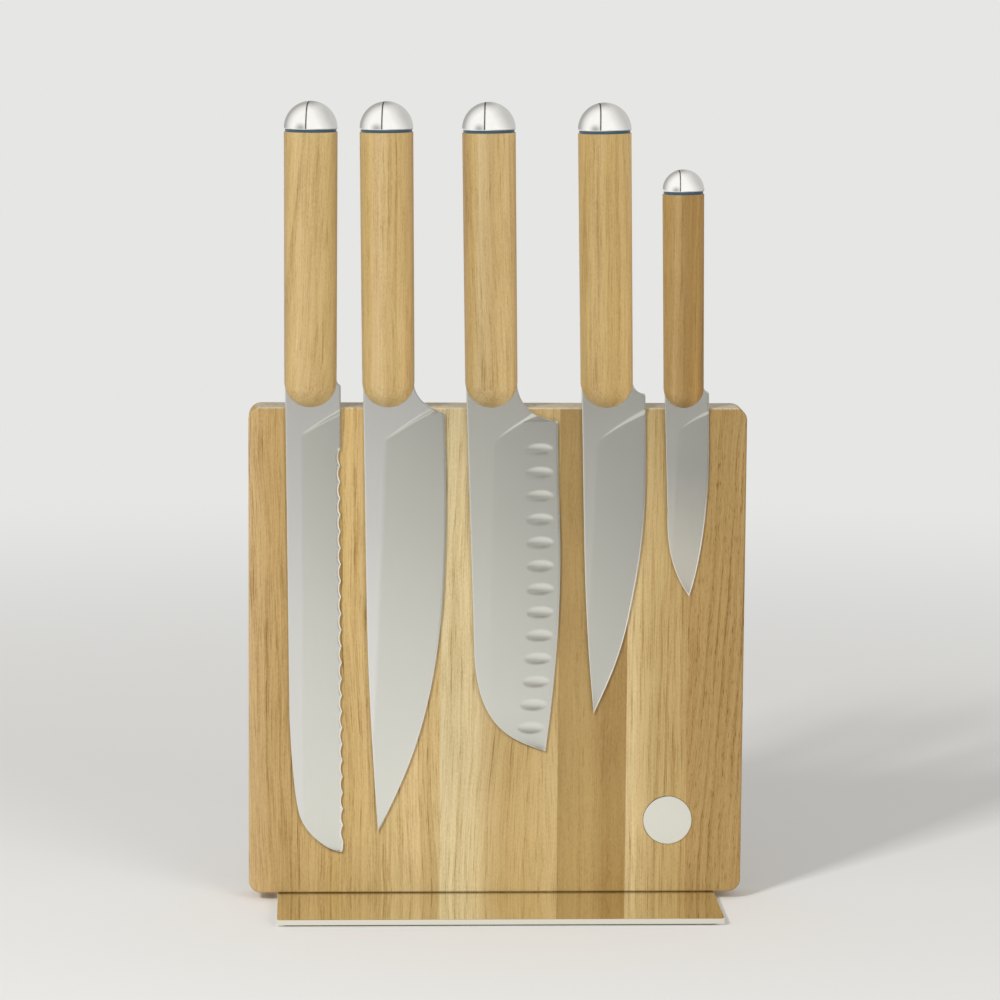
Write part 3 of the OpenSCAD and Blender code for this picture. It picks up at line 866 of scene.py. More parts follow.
    def build(self, body: str, frame: Matrix) -> bpy.types.Object:
        """Builds the blade from a grid that is drawn to its outline and thickness.

        Args:
            body: body that the blade rides on.
            frame: place of the knife's own frame in the stand's, in millimetres.

        Returns:
            The blade.
        """
        self.edge_side, self.spine_side = map(Outline, self.sides())
        self.end_z = max(self.edge_side.heights[0], self.spine_side.heights[0])
        heights = self.rows()
        inner = max(int(self.edge + self.size.plate_half) * 2 - 6, LEAST_COLUMNS)
        columns = 2 * len(BORDER) - 1 + inner
        bm = bmesh.new()
        marks = bm.verts.layers.float.new("ground")
        # How far the cutting bevel takes its painted highlight, for the steel's material
        edge_highlights = bm.verts.layers.float.new("honed")
        bmesh.ops.create_grid(bm, x_segments=columns, y_segments=len(heights), size=0.5)
        for vert in bm.verts:
            i = round((vert.co.x + 0.5) * columns)
            j = round((0.5 - vert.co.y) * len(heights))
            z = heights[max(j - 1, 0)]
            left, right = self.spine_side.at(z), self.edge_side.at(z)
            x = self.across(i, columns, left, right)
            thick, vert[marks], vert[edge_highlights] = self.surface(x, z)
            closed = j == 0 or i in (0, columns) or right - left < POINTED
            vert.co = Vector((x, 0.0 if closed else -thick, z))
        back = bmesh.ops.duplicate(bm, geom=bm.verts[:] + bm.edges[:] + bm.faces[:])["geom"]
        bmesh.ops.scale(bm, vec=(1, -1, 1), verts=[g for g in back if isinstance(g, bmesh.types.BMVert)])
        bmesh.ops.reverse_faces(bm, faces=[g for g in back if isinstance(g, bmesh.types.BMFace)])
        bmesh.ops.remove_doubles(bm, verts=bm.verts, dist=WELD)
        # The flat tang, inside the handle
        size = self.size
        middle = Matrix.Translation((0, 0, (SHOULDER + size.tang_len) / 2))
        tang = middle @ Matrix.Diagonal((size.tang_w, size.plate_t, size.tang_len - SHOULDER, 1))
        bmesh.ops.create_cube(bm, size=1.0, matrix=tang)
        bmesh.ops.transform(bm, matrix=Matrix.Scale(MM, 4) @ frame, verts=bm.verts)
        bmesh.ops.recalc_face_normals(bm, faces=bm.faces)
        node = f"{self.kind.value}_blade"
        piece = new_piece(bm, f"{node}_piece", body, sharp_deg=40.0)
        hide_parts(node)
        return piece


@dataclass
class BreadBlade(Blade):
    """The bread knife's blade: scalloped edge and a deep round tip.

    Attributes:
        edge_top: distance from the handle axis of the first tooth's point.
        plain_edge: the same of the plain edge above the teeth.
        plain: length of that plain edge.
        drop: length of the curve from the spine to the tip.
        tooth_pitch: from one tooth to the next.
        tooth_depth: depth of a scallop.
        arc: number of stretches in a scallop's arc.
    """

    edge_top: float = 14.1
    plain_edge: float = 14.3
    plain: float = 30.1
    drop: float = 66.0
    tooth_pitch: float = 7.9
    tooth_depth: float = 1.0
    arc: int = 16

    def teeth(self) -> list[Point]:
        """Places the teeth.

        Returns:
            The middles of the scallops, from the top down.
        """
        start = self.bevel_top()
        count = int((self.length + start) / self.tooth_pitch)
        step = (self.edge - self.edge_top) / (count - 1)
        return [(self.edge_top + i * step, start - (i + 1) * self.tooth_pitch) for i in range(count)]

    def sides(self) -> Sides:
        """Draws the outline.

        Returns:
            Points of the edge side and of the spine side.
        """
        s, e, h, n, x = self.size.plate_half, self.edge, self.heel, self.length, self.plain_edge
        edge = [(s, SHOULDER), *curve((s, 1.5), (s + 0.3, 0.7), (s + 0.1, 1.2 - h), (x, -h))]
        edge.append((x, self.bevel_top()))
        half, depth = self.tooth_pitch / 2, self.tooth_depth
        radius = (half**2 + depth**2) / (2 * depth)
        for x, z in self.teeth():
            for i in range(self.arc + 1):
                offset = half - 2 * half * i / self.arc
                edge.append((x - depth + radius - math.sqrt(radius**2 - offset**2), z + half + offset))
        edge += curve((x, z - 0.8), (x, z - 2.8), (x - 0.2, 0.3 - n), (e - 0.9, -n))
        turn, end = (e - 21.2, 18.55 - n), (2.2 - s, self.drop - n)
        spine = curve((e - 0.9, -n), (e - 8.5, 0.1 - n), (e - 18.8, 9.6 - n), turn)
        spine += curve(turn, (e - 24.15, 29.6 - n), (2.7 - s, self.drop - n - 10.8), end)
        return edge, [*spine, (-s, SHOULDER)]

    def bevel_top(self) -> float:
        """Height of the upper end of the toothed part."""
        return -self.heel - self.plain

    def edge_line(self, z: float) -> float:
        """The straight line along the points of the teeth."""
        return self.plain_edge + (self.edge - self.plain_edge) * smoothstep(0.1, 1.0, -z / self.length)


@dataclass
class ChefBlade(Blade):
    """The chef's knife's blade: deep heel and a long curve to a pointed tip."""

    def sides(self) -> Sides:
        """Draws the outline.

        Returns:
            Points of the edge side and of the spine side.
        """
        s, e, h, n, t = self.size.plate_half, self.edge, self.heel, self.length, self.tip
        belly = (e - 7.9, 69.3 - n)
        edge = [
            (s, SHOULDER),
            *curve((s, -0.4), (s, 6.9 - h), (e - 7.4, 1.3 - h), (e - 0.9, -h)),
            (e - 0.6, -h - 1),
            *curve((e, -h - 34.9), (e, -h - 72.1), (e - 2.1, 96.8 - n), belly),
            *curve(belly, (e - 13.6, 42.3 - n), (12.7 - t, 24.9 - n), (-t, -n)),
        ]
        spine = curve((-t, -n), (-t - 2.1, 34 - n), (1 - s, 76.1 - n), (0.9 - s, 114 - n))
        return edge, [*spine, (-s, SHOULDER)]


@dataclass
class SantokuBlade(Blade):
    """The santoku's blade: nearly straight edge, dropped spine and a row of hollows.

    Attributes:
        flat: length of the straight part of the edge.
        hollow_count: number of hollows.
        hollow_len: length of a hollow, across the blade.
        hollow_h: its height.
        hollow_depth: its depth.
        hollow_pitch: from one hollow to the next.
        hollow_start: depth of the first one below the centre of the nose.
        hollow_back: how far the hollows' middles lie back from the edge.
        hollow_shift: how much further back the upper ones lie.
        hollow_bend: how the row follows the curve of the edge.
    """

    flat: float = 58.0
    hollow_count: int = 13
    hollow_len: float = 12.9
    hollow_h: float = 5.4
    hollow_depth: float = 0.3
    hollow_pitch: float = 11.2
    hollow_start: float = 32.7
    hollow_back: float = 8.5
    hollow_shift: float = 1.1
    hollow_bend: float = 1.8

    def sides(self) -> Sides:
        """Draws the outline.

        Returns:
            Points of the edge side and of the spine side.
        """
        s, e, h, n, t = self.size.plate_half, self.edge, self.heel, self.length, self.tip
        low = -h - self.flat
        edge = [
            (s, SHOULDER),
            *curve((s, 0.5), (s, 5 - h), (e - 7.6, 0.3 - h), (e - 1.1, -h)),
            (e - 0.8, -h - 1),
            (e - 0.7, -h - 32),
            *curve((e, low), (e, low - 22), (t + 7, 48 - n), (t, -n)),
        ]
        spine = curve((t, -n), (t - 13.7, 5 - n), (3.3 - s, 9.2 - n), (2.6 - s, 50 - n))
        return edge, [*spine, (0.6 - s, -31), (-s, SHOULDER)]

    def relief(self, x: float, z: float) -> float:
        """Works out the depth of the hollow at a place.

        Args:
            x: place across.
            z: height.

        Returns:
            The depth, 0 between the hollows.
        """
        i = round((-z - self.hollow_start) / self.hollow_pitch)
        if not 0 <= i < self.hollow_count:
            return 0.0
        depth = self.hollow_start + i * self.hollow_pitch
        past = max(0.0, depth - self.heel - self.flat) / (self.length - self.heel - self.flat)
        centre = self.edge - (self.edge - self.tip) * past**self.hollow_bend - self.hollow_back
        centre -= self.hollow_shift * (1 - smoothstep(0.35, 0.75, i / (self.hollow_count - 1)))
        across = (x - centre) / (self.hollow_len / 2)
        up = (z + depth) / (self.hollow_h / 2)
        return self.hollow_depth * max(0.0, 1 - across * across - up * up)


@dataclass
class UtilityBlade(Blade):
    """The utility knife's blade: slim and pointed."""

    def sides(self) -> Sides:
        """Draws the outline.

        Returns:
            Points of the edge side and of the spine side.
        """
        s, e, h, n, t = self.size.plate_half, self.edge, self.heel, self.length, self.tip
        belly = (e - 9.7, 41.9 - n)
        edge = [
            (s, SHOULDER),
            *curve((s, 1), (s + 0.3, 2.7 - h), (s + 2.5, 0.3 - h), (e - 0.2, -h)),
            (e, -h - 0.3),
            *curve((e, -h - 24), (e, -h - 60), (e - 1.6, 77.9 - n), belly),
            *curve(belly, (e - 13.9, 24.9 - n), (6.4 - t, 13.5 - n), (-t, -n)),
        ]
        spine = curve((-t, -n), (-t - 5, 57 - n), (0.9 - s, -68), (0.1 - s, -8))
        return edge, [*spine, (-s, SHOULDER)]


@dataclass
class ParingBlade(Blade):
    """The paring knife's blade: short and pointed."""

    def sides(self) -> Sides:
        """Draws the outline.

        Returns:
            Points of the edge side and of the spine side.
        """
        s, e, h, n, t = self.size.plate_half, self.edge, self.heel, self.length, self.tip
        edge = [
            (s, SHOULDER),
            *curve((s, 1), (s + 0.3, 0.2), (s + 0.2, 1 - h), (e - 0.2, -h)),
            (e, -h - 0.3),
            *curve((e, -h - 28.7), (e, -h - 49.3), (t + 6.8, 20.2 - n), (t, -n)),
        ]
        spine = curve((t, -n), (t - 14, 19.5 - n), (2.2 - s, 43 - n), (1.3 - s, 44 - n))
        return edge, [*spine, (-s, SHOULDER)]


# ---------- Knives ----------


@dataclass
class Knife:
    """One knife: blade, turned handle, spacer ring and domed cap.

    Attributes:
        blade: the blade.
        x: handle axis, from the middle of the board.
        lean: lean of the knife to the left, in degrees.
        seed: moves the grain of the handle.
        grain: lean of that grain, in degrees.
        tones: colours of the handle from left to right: the wood's tone, with painted light that makes the
            part right of the middle lighter.
        face_y: the board's front face.
        board_top: the board's top.
        clear: height of the nose above the board's top.
        ring_t: thickness of the spacer ring.
        ring_step: how much smaller than the cap the ring is.
        cap_skirt: height of the cap's straight skirt.
        soft: width of the softened edges of ring and cap.
        handle_soft: width of the softened edges of the handle.
        rim_deg: edges of the ring that turn more than this are its rims.
        segments: number of faces around a ring or a cap.
    """

    blade: Blade
    x: float
    lean: float
    seed: float
    grain: float
    tones: str
    face_y: float = -11.5
    board_top: float = 238.7
    clear: float = 0.25
    ring_t: float = 1.5
    ring_step: float = 0.5
    cap_skirt: float = 0.3
    soft: float = 0.12
    handle_soft: float = 0.15
    rim_deg: float = 60.0
    segments: int = 96

    @property
    def name(self) -> str:
        """Name of the knife."""
        return self.blade.kind.value

    @property
    def frame(self) -> Matrix:
        """Places the knife's own frame in the stand's.

        Returns:
            The place, in millimetres.
        """
        size = self.blade.size
        place = (self.x, self.face_y - size.plate_t / 2, self.board_top + self.clear + size.nose_r)
        return Matrix.Translation(place) @ Matrix.Rotation(math.radians(-self.lean), 4, "Y")

    def oak(self) -> OakFinish:
        """Chooses the handle's oak: light, with fine straight grain that runs through the round piece.

        Returns:
            The finish.
        """
        half, codes = self.blade.size.tone_half, self.tones.split()
        return OakFinish(
            name=f"oiled_oak_{self.name}_handle",
            # The tones carry painted light: right of the middle they are lighter than the wood, to make up
            # for the light that falls off on that side of the round handle.
            tones=tuple((i / (len(codes) - 1), code) for i, code in enumerate(codes)),
            across=(self.x - half, self.x + half),
            seed=self.seed,
            lean=self.grain,
            ring=7.0,
            ring_depth=0.2,
            streak_depth=0.75,
            dash=12.0,
            pore_depth=0.3,
            wander=2.6,
            # Painted light: the tone is lifted near the underside of the nose, where the blade throws light
            # back on it
            fade=((238.0, 1.15), (243.0, 1.07), (252.0, 1.0), (400.0, 1.0)),
        )

    def finish_round(self, bm: bmesh.types.BMesh, part: str) -> bpy.types.Object:
        """Moves a round piece from the knife's own frame to its place, lets it ride on the knife, and hides
        the solid that it stands for.

        Args:
            bm: its mesh, in millimetres. It is freed.
            part: name of the part.

        Returns:
            The piece.
        """
        bmesh.ops.transform(bm, matrix=Matrix.Scale(MM, 4) @ self.frame, verts=bm.verts)
        bmesh.ops.recalc_face_normals(bm, faces=bm.faces)
        piece = new_piece(bm, f"{self.name}_{part}_piece", f"{self.name}_knife")
        flat_faces_first(piece)
        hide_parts(f"{self.name}_{part}")
        return piece

    def build_cap(self) -> bpy.types.Object:
        """Builds the cap: half a ball on a short skirt, with a softened lower edge.

        Returns:
            The cap.
        """
        size = self.blade.size
        base = size.length + self.ring_t
        bm = bmesh.new()
        bmesh.ops.create_uvsphere(
            bm, u_segments=self.segments, v_segments=2 * self.segments // 3, radius=size.cap_r
        )
        ball = bm.verts[:] + bm.edges[:] + bm.faces[:]
        bmesh.ops.bisect_plane(bm, geom=ball, plane_co=(0, 0, 0), plane_no=(0, 0, 1), clear_inner=True)
        bmesh.ops.translate(bm, vec=(0, 0, base + self.cap_skirt), verts=bm.verts)
        skirt = bmesh.ops.extrude_edge_only(bm, edges=[e for e in bm.edges if e.is_boundary])["geom"]
        low = [g for g in skirt if isinstance(g, bmesh.types.BMVert)]
        bmesh.ops.translate(bm, vec=(0, 0, -self.cap_skirt), verts=low)
        rim = [e for e in bm.edges if e.is_boundary]
        bmesh.ops.contextual_create(bm, geom=rim)
        soften(bm, rim, self.soft)
        return self.finish_round(bm, "end_cap")

    def build_ring(self) -> bpy.types.Object:
        """Builds the spacer ring, with softened edges.

        Returns:
            The ring.
        """
        size = self.blade.size
        radius = size.cap_r - self.ring_step
        bm = bmesh.new()
        bmesh.ops.create_cone(
            bm,
            cap_ends=True,
            segments=self.segments,
            radius1=radius,
            radius2=radius,
            depth=self.ring_t,
            matrix=Matrix.Translation((0, 0, size.length + self.ring_t / 2)),
        )
        limit = math.radians(self.rim_deg)
        soften(bm, [e for e in bm.edges if e.calc_face_angle() > limit], self.soft)
        return self.finish_round(bm, "spacer_ring")

    def build(self, nodes: Nodes, finishes: Materials) -> None:
        """Builds and dresses the knife's pieces.

        Args:
            nodes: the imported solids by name.
            finishes: the shared materials by slot.
        """
        body = f"{self.name}_knife"
        blade = self.blade.build(body, self.frame)
        dress(blade, finishes[self.blade.steel])
        slot = "small_handle_oak" if self.blade.kind is BladeKind.PARING else "handle_oak"
        turned = SolidPiece(f"{self.name}_handle", body, slot, self.handle_soft)
        handle = turned.build(nodes, self.oak().build())
        ring, cap, rod = self.build_ring(), self.build_cap(), nodes[f"{self.name}_tang_rod"]
        dress(ring, finishes["navy_plastic"])
        dress(cap, finishes["polished_cap"])
        dress(rod, finishes["zinc_steel"])
        # The polished caps are lit one by one, without their neighbours in them
        for piece in (handle, ring, cap, rod):
            piece.visible_glossy = False
        log.info("%s knife: blade of %d faces, handle, ring and cap", self.name, len(blade.data.polygons))


def knives() -> list[Knife]:
    """Lists the five knives, from left to right.

    Returns:
        The knives, not built yet.
    """
    # Each blade's honed sets the painted highlight along its cutting bevel, and its painted_ramp_share the
    # painted tone of its ramp.
    return [
        Knife(
            BreadBlade(
                BladeKind.BREAD, LARGE, length=227, edge=16, heel=2.1, tip=0, grind=(-4.2, -25.7), drift=0.0,
                bevel=(0.75, 0.4), bow=0.5, honed=(0.8, -20, -45), painted_ramp_share=(0.5, 1.0),
            ),
            x=-89.2, lean=0.0, seed=1.3, grain=-3.5,
            tones="#b19767 #bfa26c #c1a775 #ba9f6f #ba9f6d #b89c69 #c5a973 #ccaf76 #b79a63",
        ),
        Knife(
            ChefBlade(
                BladeKind.CHEF, LARGE, length=217.3, edge=27.1, heel=15.1, tip=6.6, grind=(-2, -28.2),
                drift=0.05, steel="light_satin_steel", honed=(0.35, -90, -150), painted_ramp_share=(0.0, 1.0),
            ),
            x=-52.4, lean=0.63, seed=2.7, grain=0.0,
            tones="#bea36c #c1a76f #bda375 #c2a97a #b69b68 #ba9e68 #c8ab73 #ceac72 #b39866",
        ),
        Knife(
            SantokuBlade(
                BladeKind.SANTOKU, LARGE, length=178.5, edge=32.2, heel=19.2, tip=24.3, grind=(1.3, -28),
                drift=0.03, ground_flats=1.0, steel="ramp_highlight_satin_steel", honed=(0.3, -60, -120),
            ),
            x=-3.65, lean=0.94, seed=4.1, grain=2.0,
            tones="#b39461 #b59b63 #bba478 #b49b6d #af9462 #c1a672 #d0b580 #d7b77f #bca16e",
        ),
        Knife(
            UtilityBlade(
                BladeKind.UTILITY, LARGE, length=159.8, edge=18.3, heel=6.0, tip=7.5, grind=(-4.3, -27.9),
                drift=0.06, ground_flats=1.0, steel="ramp_highlight_satin_steel", honed=(0.8, -40, -110),
            ),
            x=51.1, lean=1.06, seed=5.9, grain=0.8,
            tones="#bb9d62 #b69c65 #b69b6b #b29764 #b49861 #b4975f #caac72 #dcbc7e #bf9e66",
        ),
        Knife(
            ParingBlade(
                BladeKind.PARING, SMALL, length=100.3, edge=12, heel=2.1, tip=2.5, grind=(-2.7, -20.5),
                drift=0.05, ground_flats=0.8, steel="tip_highlight_satin_steel", honed=(0.7, -35, -80), rim=0.22,
            ),
            x=87.75, lean=0.84, seed=7.7, grain=0.0,
            tones="#ac8b50 #a18451 #ab8f5e #9a7d4c #917340 #96743f #ae8b50 #a57e41 #9b7743",
        ),
    ]


# ---------- Stand ----------


@dataclass
class Board:
    """The board: five front staves and four rear staves of oak, and a round medallion.

    Attributes:
        width: width of the board.
        front_widths: widths of the front staves but the last.
        rear_widths: widths of the rear staves but the last.
        end_from: height above which the board shows end grain.
        painted_shade_heights: heights at which the painted shade on the front staves changes, which darkens
            them towards the top.
        medal_soft: width of the medallion's softened edges.
    """

    width: float = 237.0
    front_widths: tuple[float, ...] = (91.7, 56.4, 32.9, 29.1)
    rear_widths: tuple[float, ...] = (58.5, 60.0, 58.0)
    end_from: float = 237.9
    painted_shade_heights: tuple[float, ...] = (14.0, 72.0, 168.0, 240.0)
    medal_soft: float = 0.08

    def joints(self, widths: Sequence[float]) -> list[float]:
        """Places the glue joints.

        Args:
            widths: widths of the staves but the last.

        Returns:
            The joints, both edges of the board included.
        """
        places = [-self.width / 2]
        for width in widths:
            places.append(places[-1] + width)
        return places + [self.width / 2]

    def front_finishes(self) -> list[OakFinish]:
        """Chooses the finishes of the front staves.

        Returns:
            The finishes, from left to right.
        """
        j = self.joints(self.front_widths)
        looks: list[dict[str, Any]] = [
            dict(
                tones=(
                    (0.0, "#c4a675"), (0.13, "#b89862"), (0.24, "#c0a169"), (0.34, "#c9aa72"),
                    (0.44, "#c5a66b"), (0.6, "#cbad75"), (0.76, "#cfb47d"), (0.88, "#d6ba86"),
                    (0.93, "#c7aa74"), (1.0, "#d2b782"),
                ),
                fade=(0.94, 0.93, 0.92), seed=3.1, lean=0.8, ring=4.6, ring_depth=0.24, streak_depth=0.95,
                dash=16.0, wander=6.0,
            ),
            dict(
                tones=(
                    (0.0, "#decb9d"), (0.28, "#dfc999"), (0.38, "#cfb480"), (0.56, "#c7a970"),
                    (0.8, "#cdaf76"), (0.93, "#d2b67f"), (1.0, "#cdb17a"),
                ),
                fade=(0.83, 0.85, 0.67), seed=8.4, lean=-1.6, ring=6.2, ring_depth=0.18, streak_depth=0.7,
                dash=18.0, wander=9.0,
            ),
            dict(
                tones=(
                    (0.0, "#b2935b"), (0.4, "#bc9d63"), (0.6, "#b5955c"), (0.68, "#ae8d53"), (1.0, "#b09055"),
                ),
                fade=(0.82, 0.75, 0.63), seed=12.9, ring=14.0, ring_depth=0.16, streak_depth=0.6,
                dash=6.0, pore_depth=0.2, wander=9.0,
            ),
            dict(
                tones=(
                    (0.0, "#d8bf8e"), (0.14, "#dac18c"), (0.3, "#ceb27d"), (0.5, "#c5a972"), (1.0, "#bfa068"),
                ),
                fade=(0.86, 0.83, 0.67), seed=17.2, ring=4.0, ring_depth=0.28, streak_depth=0.8,
                dash=22.0, wander=2.0,
            ),
            dict(
                tones=((0.0, "#af8e59"), (0.5, "#ac8e57"), (1.0, "#ad8e59")),
                fade=(0.92, 0.90, 0.81), seed=21.6, lean=-3.2, ring=4.4, ring_depth=0.3, streak_depth=0.9,
                dash=5.0, pore_depth=0.6, wander=4.0, wobble=1.0, warm=1.4,
            ),
        ]
        for i, look in enumerate(looks):
            look["name"] = f"oiled_oak_front_stave_{i + 1}"
            # Painted shade and light: each front stave is darker towards the top, in place of the handles'
            # shade above and of the light that the polished plate throws on the foot.
            look["fade"] = tuple(zip(self.painted_shade_heights, (1.0, *look["fade"])))
            look["across"] = (j[i], j[i + 1])
        return [OakFinish(end_from=self.end_from, **look) for look in looks]

    def rear_finishes(self) -> list[OakFinish]:
        """Chooses the finishes of the rear staves.

        Returns:
            The finishes, from left to right.
        """
        j = self.joints(self.rear_widths)
        looks = (
            ("#c2a06b", "#bd9b64", 30.3, -1.0),
            ("#c9a973", "#c4a36c", 35.0, 0.6),
            ("#bb9961", "#b7955d", 39.7, 1.4),
            ("#c6a670", "#bf9e67", 44.4, -0.5),
        )
        return [
            OakFinish(
                name=f"oiled_oak_rear_stave_{i + 1}",
                across=(j[i], j[i + 1]),
                tones=((0.0, left), (1.0, right)),
                seed=seed,
                end_from=self.end_from,
                lean=lean,
            )
            for i, (left, right, seed, lean) in enumerate(looks)
        ]

    def build(self, nodes: Nodes, finishes: Materials) -> None:
        """Builds and dresses the staves and the medallion.

        Args:
            nodes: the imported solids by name.
            finishes: the shared materials by slot.
        """
        front, rear = self.front_finishes(), self.rear_finishes()
        for layer, looks in (("front", front), ("rear", rear)):
            for i, oak in enumerate(looks):
                SolidPiece(f"{layer}_stave_{i + 1}", "stand", "board_oak").build(nodes, oak.build())
        SolidPiece("medallion", "stand", "medal_steel", self.medal_soft).build(nodes, finishes["medal_steel"])
        for node, slot in (("magnets", "nickel_plate"), ("yoke_strips", "zinc_steel")):
            dress(nodes[node], finishes[slot])
        log.info("board: %d front and %d rear staves, medallion", len(front), len(rear))


@dataclass
class Base:
    """The base: polished plate, pad, screws and inserts.

    Attributes:
        edge_soft: width of the plate's softened edges.
        level: faces whose normal points less upwards or downwards than this belong to the plate's edge.
    """

    edge_soft: float = 0.25
    level: float = 0.9

    def build(self, nodes: Nodes, finishes: Materials) -> None:
        """Builds and dresses the pieces of the base.

        Args:
            nodes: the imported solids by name.
            finishes: the shared materials by slot.
        """
        slot = "mirror_steel"
        plate = SolidPiece("base_plate", "stand", slot, self.edge_soft).build(nodes, finishes[slot])
        plate.data.materials.append(finishes["edge_steel"])
        for face in plate.data.polygons:
            face.material_index = int(abs(face.normal.z) < self.level)
        for node, slot in (
            ("base_pad", "pad_rubber"),
            ("base_screws", "zinc_steel"),
            ("threaded_inserts", "insert_brass"),
        ):
            dress(nodes[node], finishes[slot])
        log.info("base: plate, pad, screws and inserts")


def shared_finishes() -> Materials:
    """Builds the materials that several pieces share.

    Returns:
        The materials, by the record's slot or by what sets a blade's steel apart.
    """
    finishes: dict[str, Finish] = {
        # Fine satin: soft reflections, a little duller on the ground faces, with painted shade on the ramp
        # above the grind
        "satin_steel": SteelFinish("satin_stainless_steel", painted_ramp_colour="#b5b4ad"),
        # Finer satin, lighter, also with painted shade on the ramp above the grind
        "light_satin_steel": SteelFinish(
            "fine_satin_stainless_steel", "#e4e3df", "#dddcd4", painted_ramp_colour="#bfbeb7"
        ),
        # The same satin steel, with a painted highlight on the ramp above the grind
        "ramp_highlight_satin_steel": SteelFinish("satin_stainless_steel_ramp_highlight"),
        # The same again, with a painted highlight towards the tip as well
        "tip_highlight_satin_steel": SteelFinish("satin_stainless_steel_ramp_and_tip_highlight", tip_highlight_span=(210.0, 153.0)),
        # Mirror polish: the board shows in it almost unchanged
        "mirror_steel": SteelFinish(
            "mirror_polished_stainless_steel", "#f6f4ea", None, 0.03, line=EVEN_LINE, depth=0.015
        ),
        # Sheared edge of the polished sheet, a little duller and warmer
        "edge_steel": SteelFinish(
            "sheared_stainless_steel", "#e2dcce", None, 0.08, line=EVEN_LINE, depth=0.03
        ),
        # Fine turned face, nearly white
        "medal_steel": SteelFinish(
            "satin_nickel_silver", "#edebe0", None, 0.28, line=(0.5, 0.5, 0.5), depth=0.04
        ),
        # Silver-coloured, polished by hand: mirrors softly
        "polished_cap": PlainFinish("polished_silver_plate", "#f2f1ed", 0.08, 1.0, 3.0, 0.04),
        # Moulded with a smooth skin: dark and half glossy
        "navy_plastic": PlainFinish("moulded_navy_acetal", "#374f5c", 0.28, 0.0, 0.8, 0.06),
        # Calendered sheet: dead matt black
        "pad_rubber": PlainFinish("black_nitrile_rubber", "#1d1d1d", 0.75, 0.0, 0.6, 0.2),
        # Barrel-plated: cool grey with a dull gloss
        "zinc_steel": PlainFinish("zinc_plated_steel", "#a3a39f", 0.38, 1.0, 1.5, 0.1),
        # Turned on a lathe: warm yellow with a soft gloss
        "insert_brass": PlainFinish("turned_brass", "#c9a45a", 0.3, 1.0, 1.0, 0.08),
        # Bright nickel over a sintered disc
        "nickel_plate": PlainFinish("nickel_plated_magnet", "#b9b8b2", 0.2, 1.0, 2.0, 0.06),
    }
    return {slot: finish.build() for slot, finish in finishes.items()}


# ---------- Studio ----------


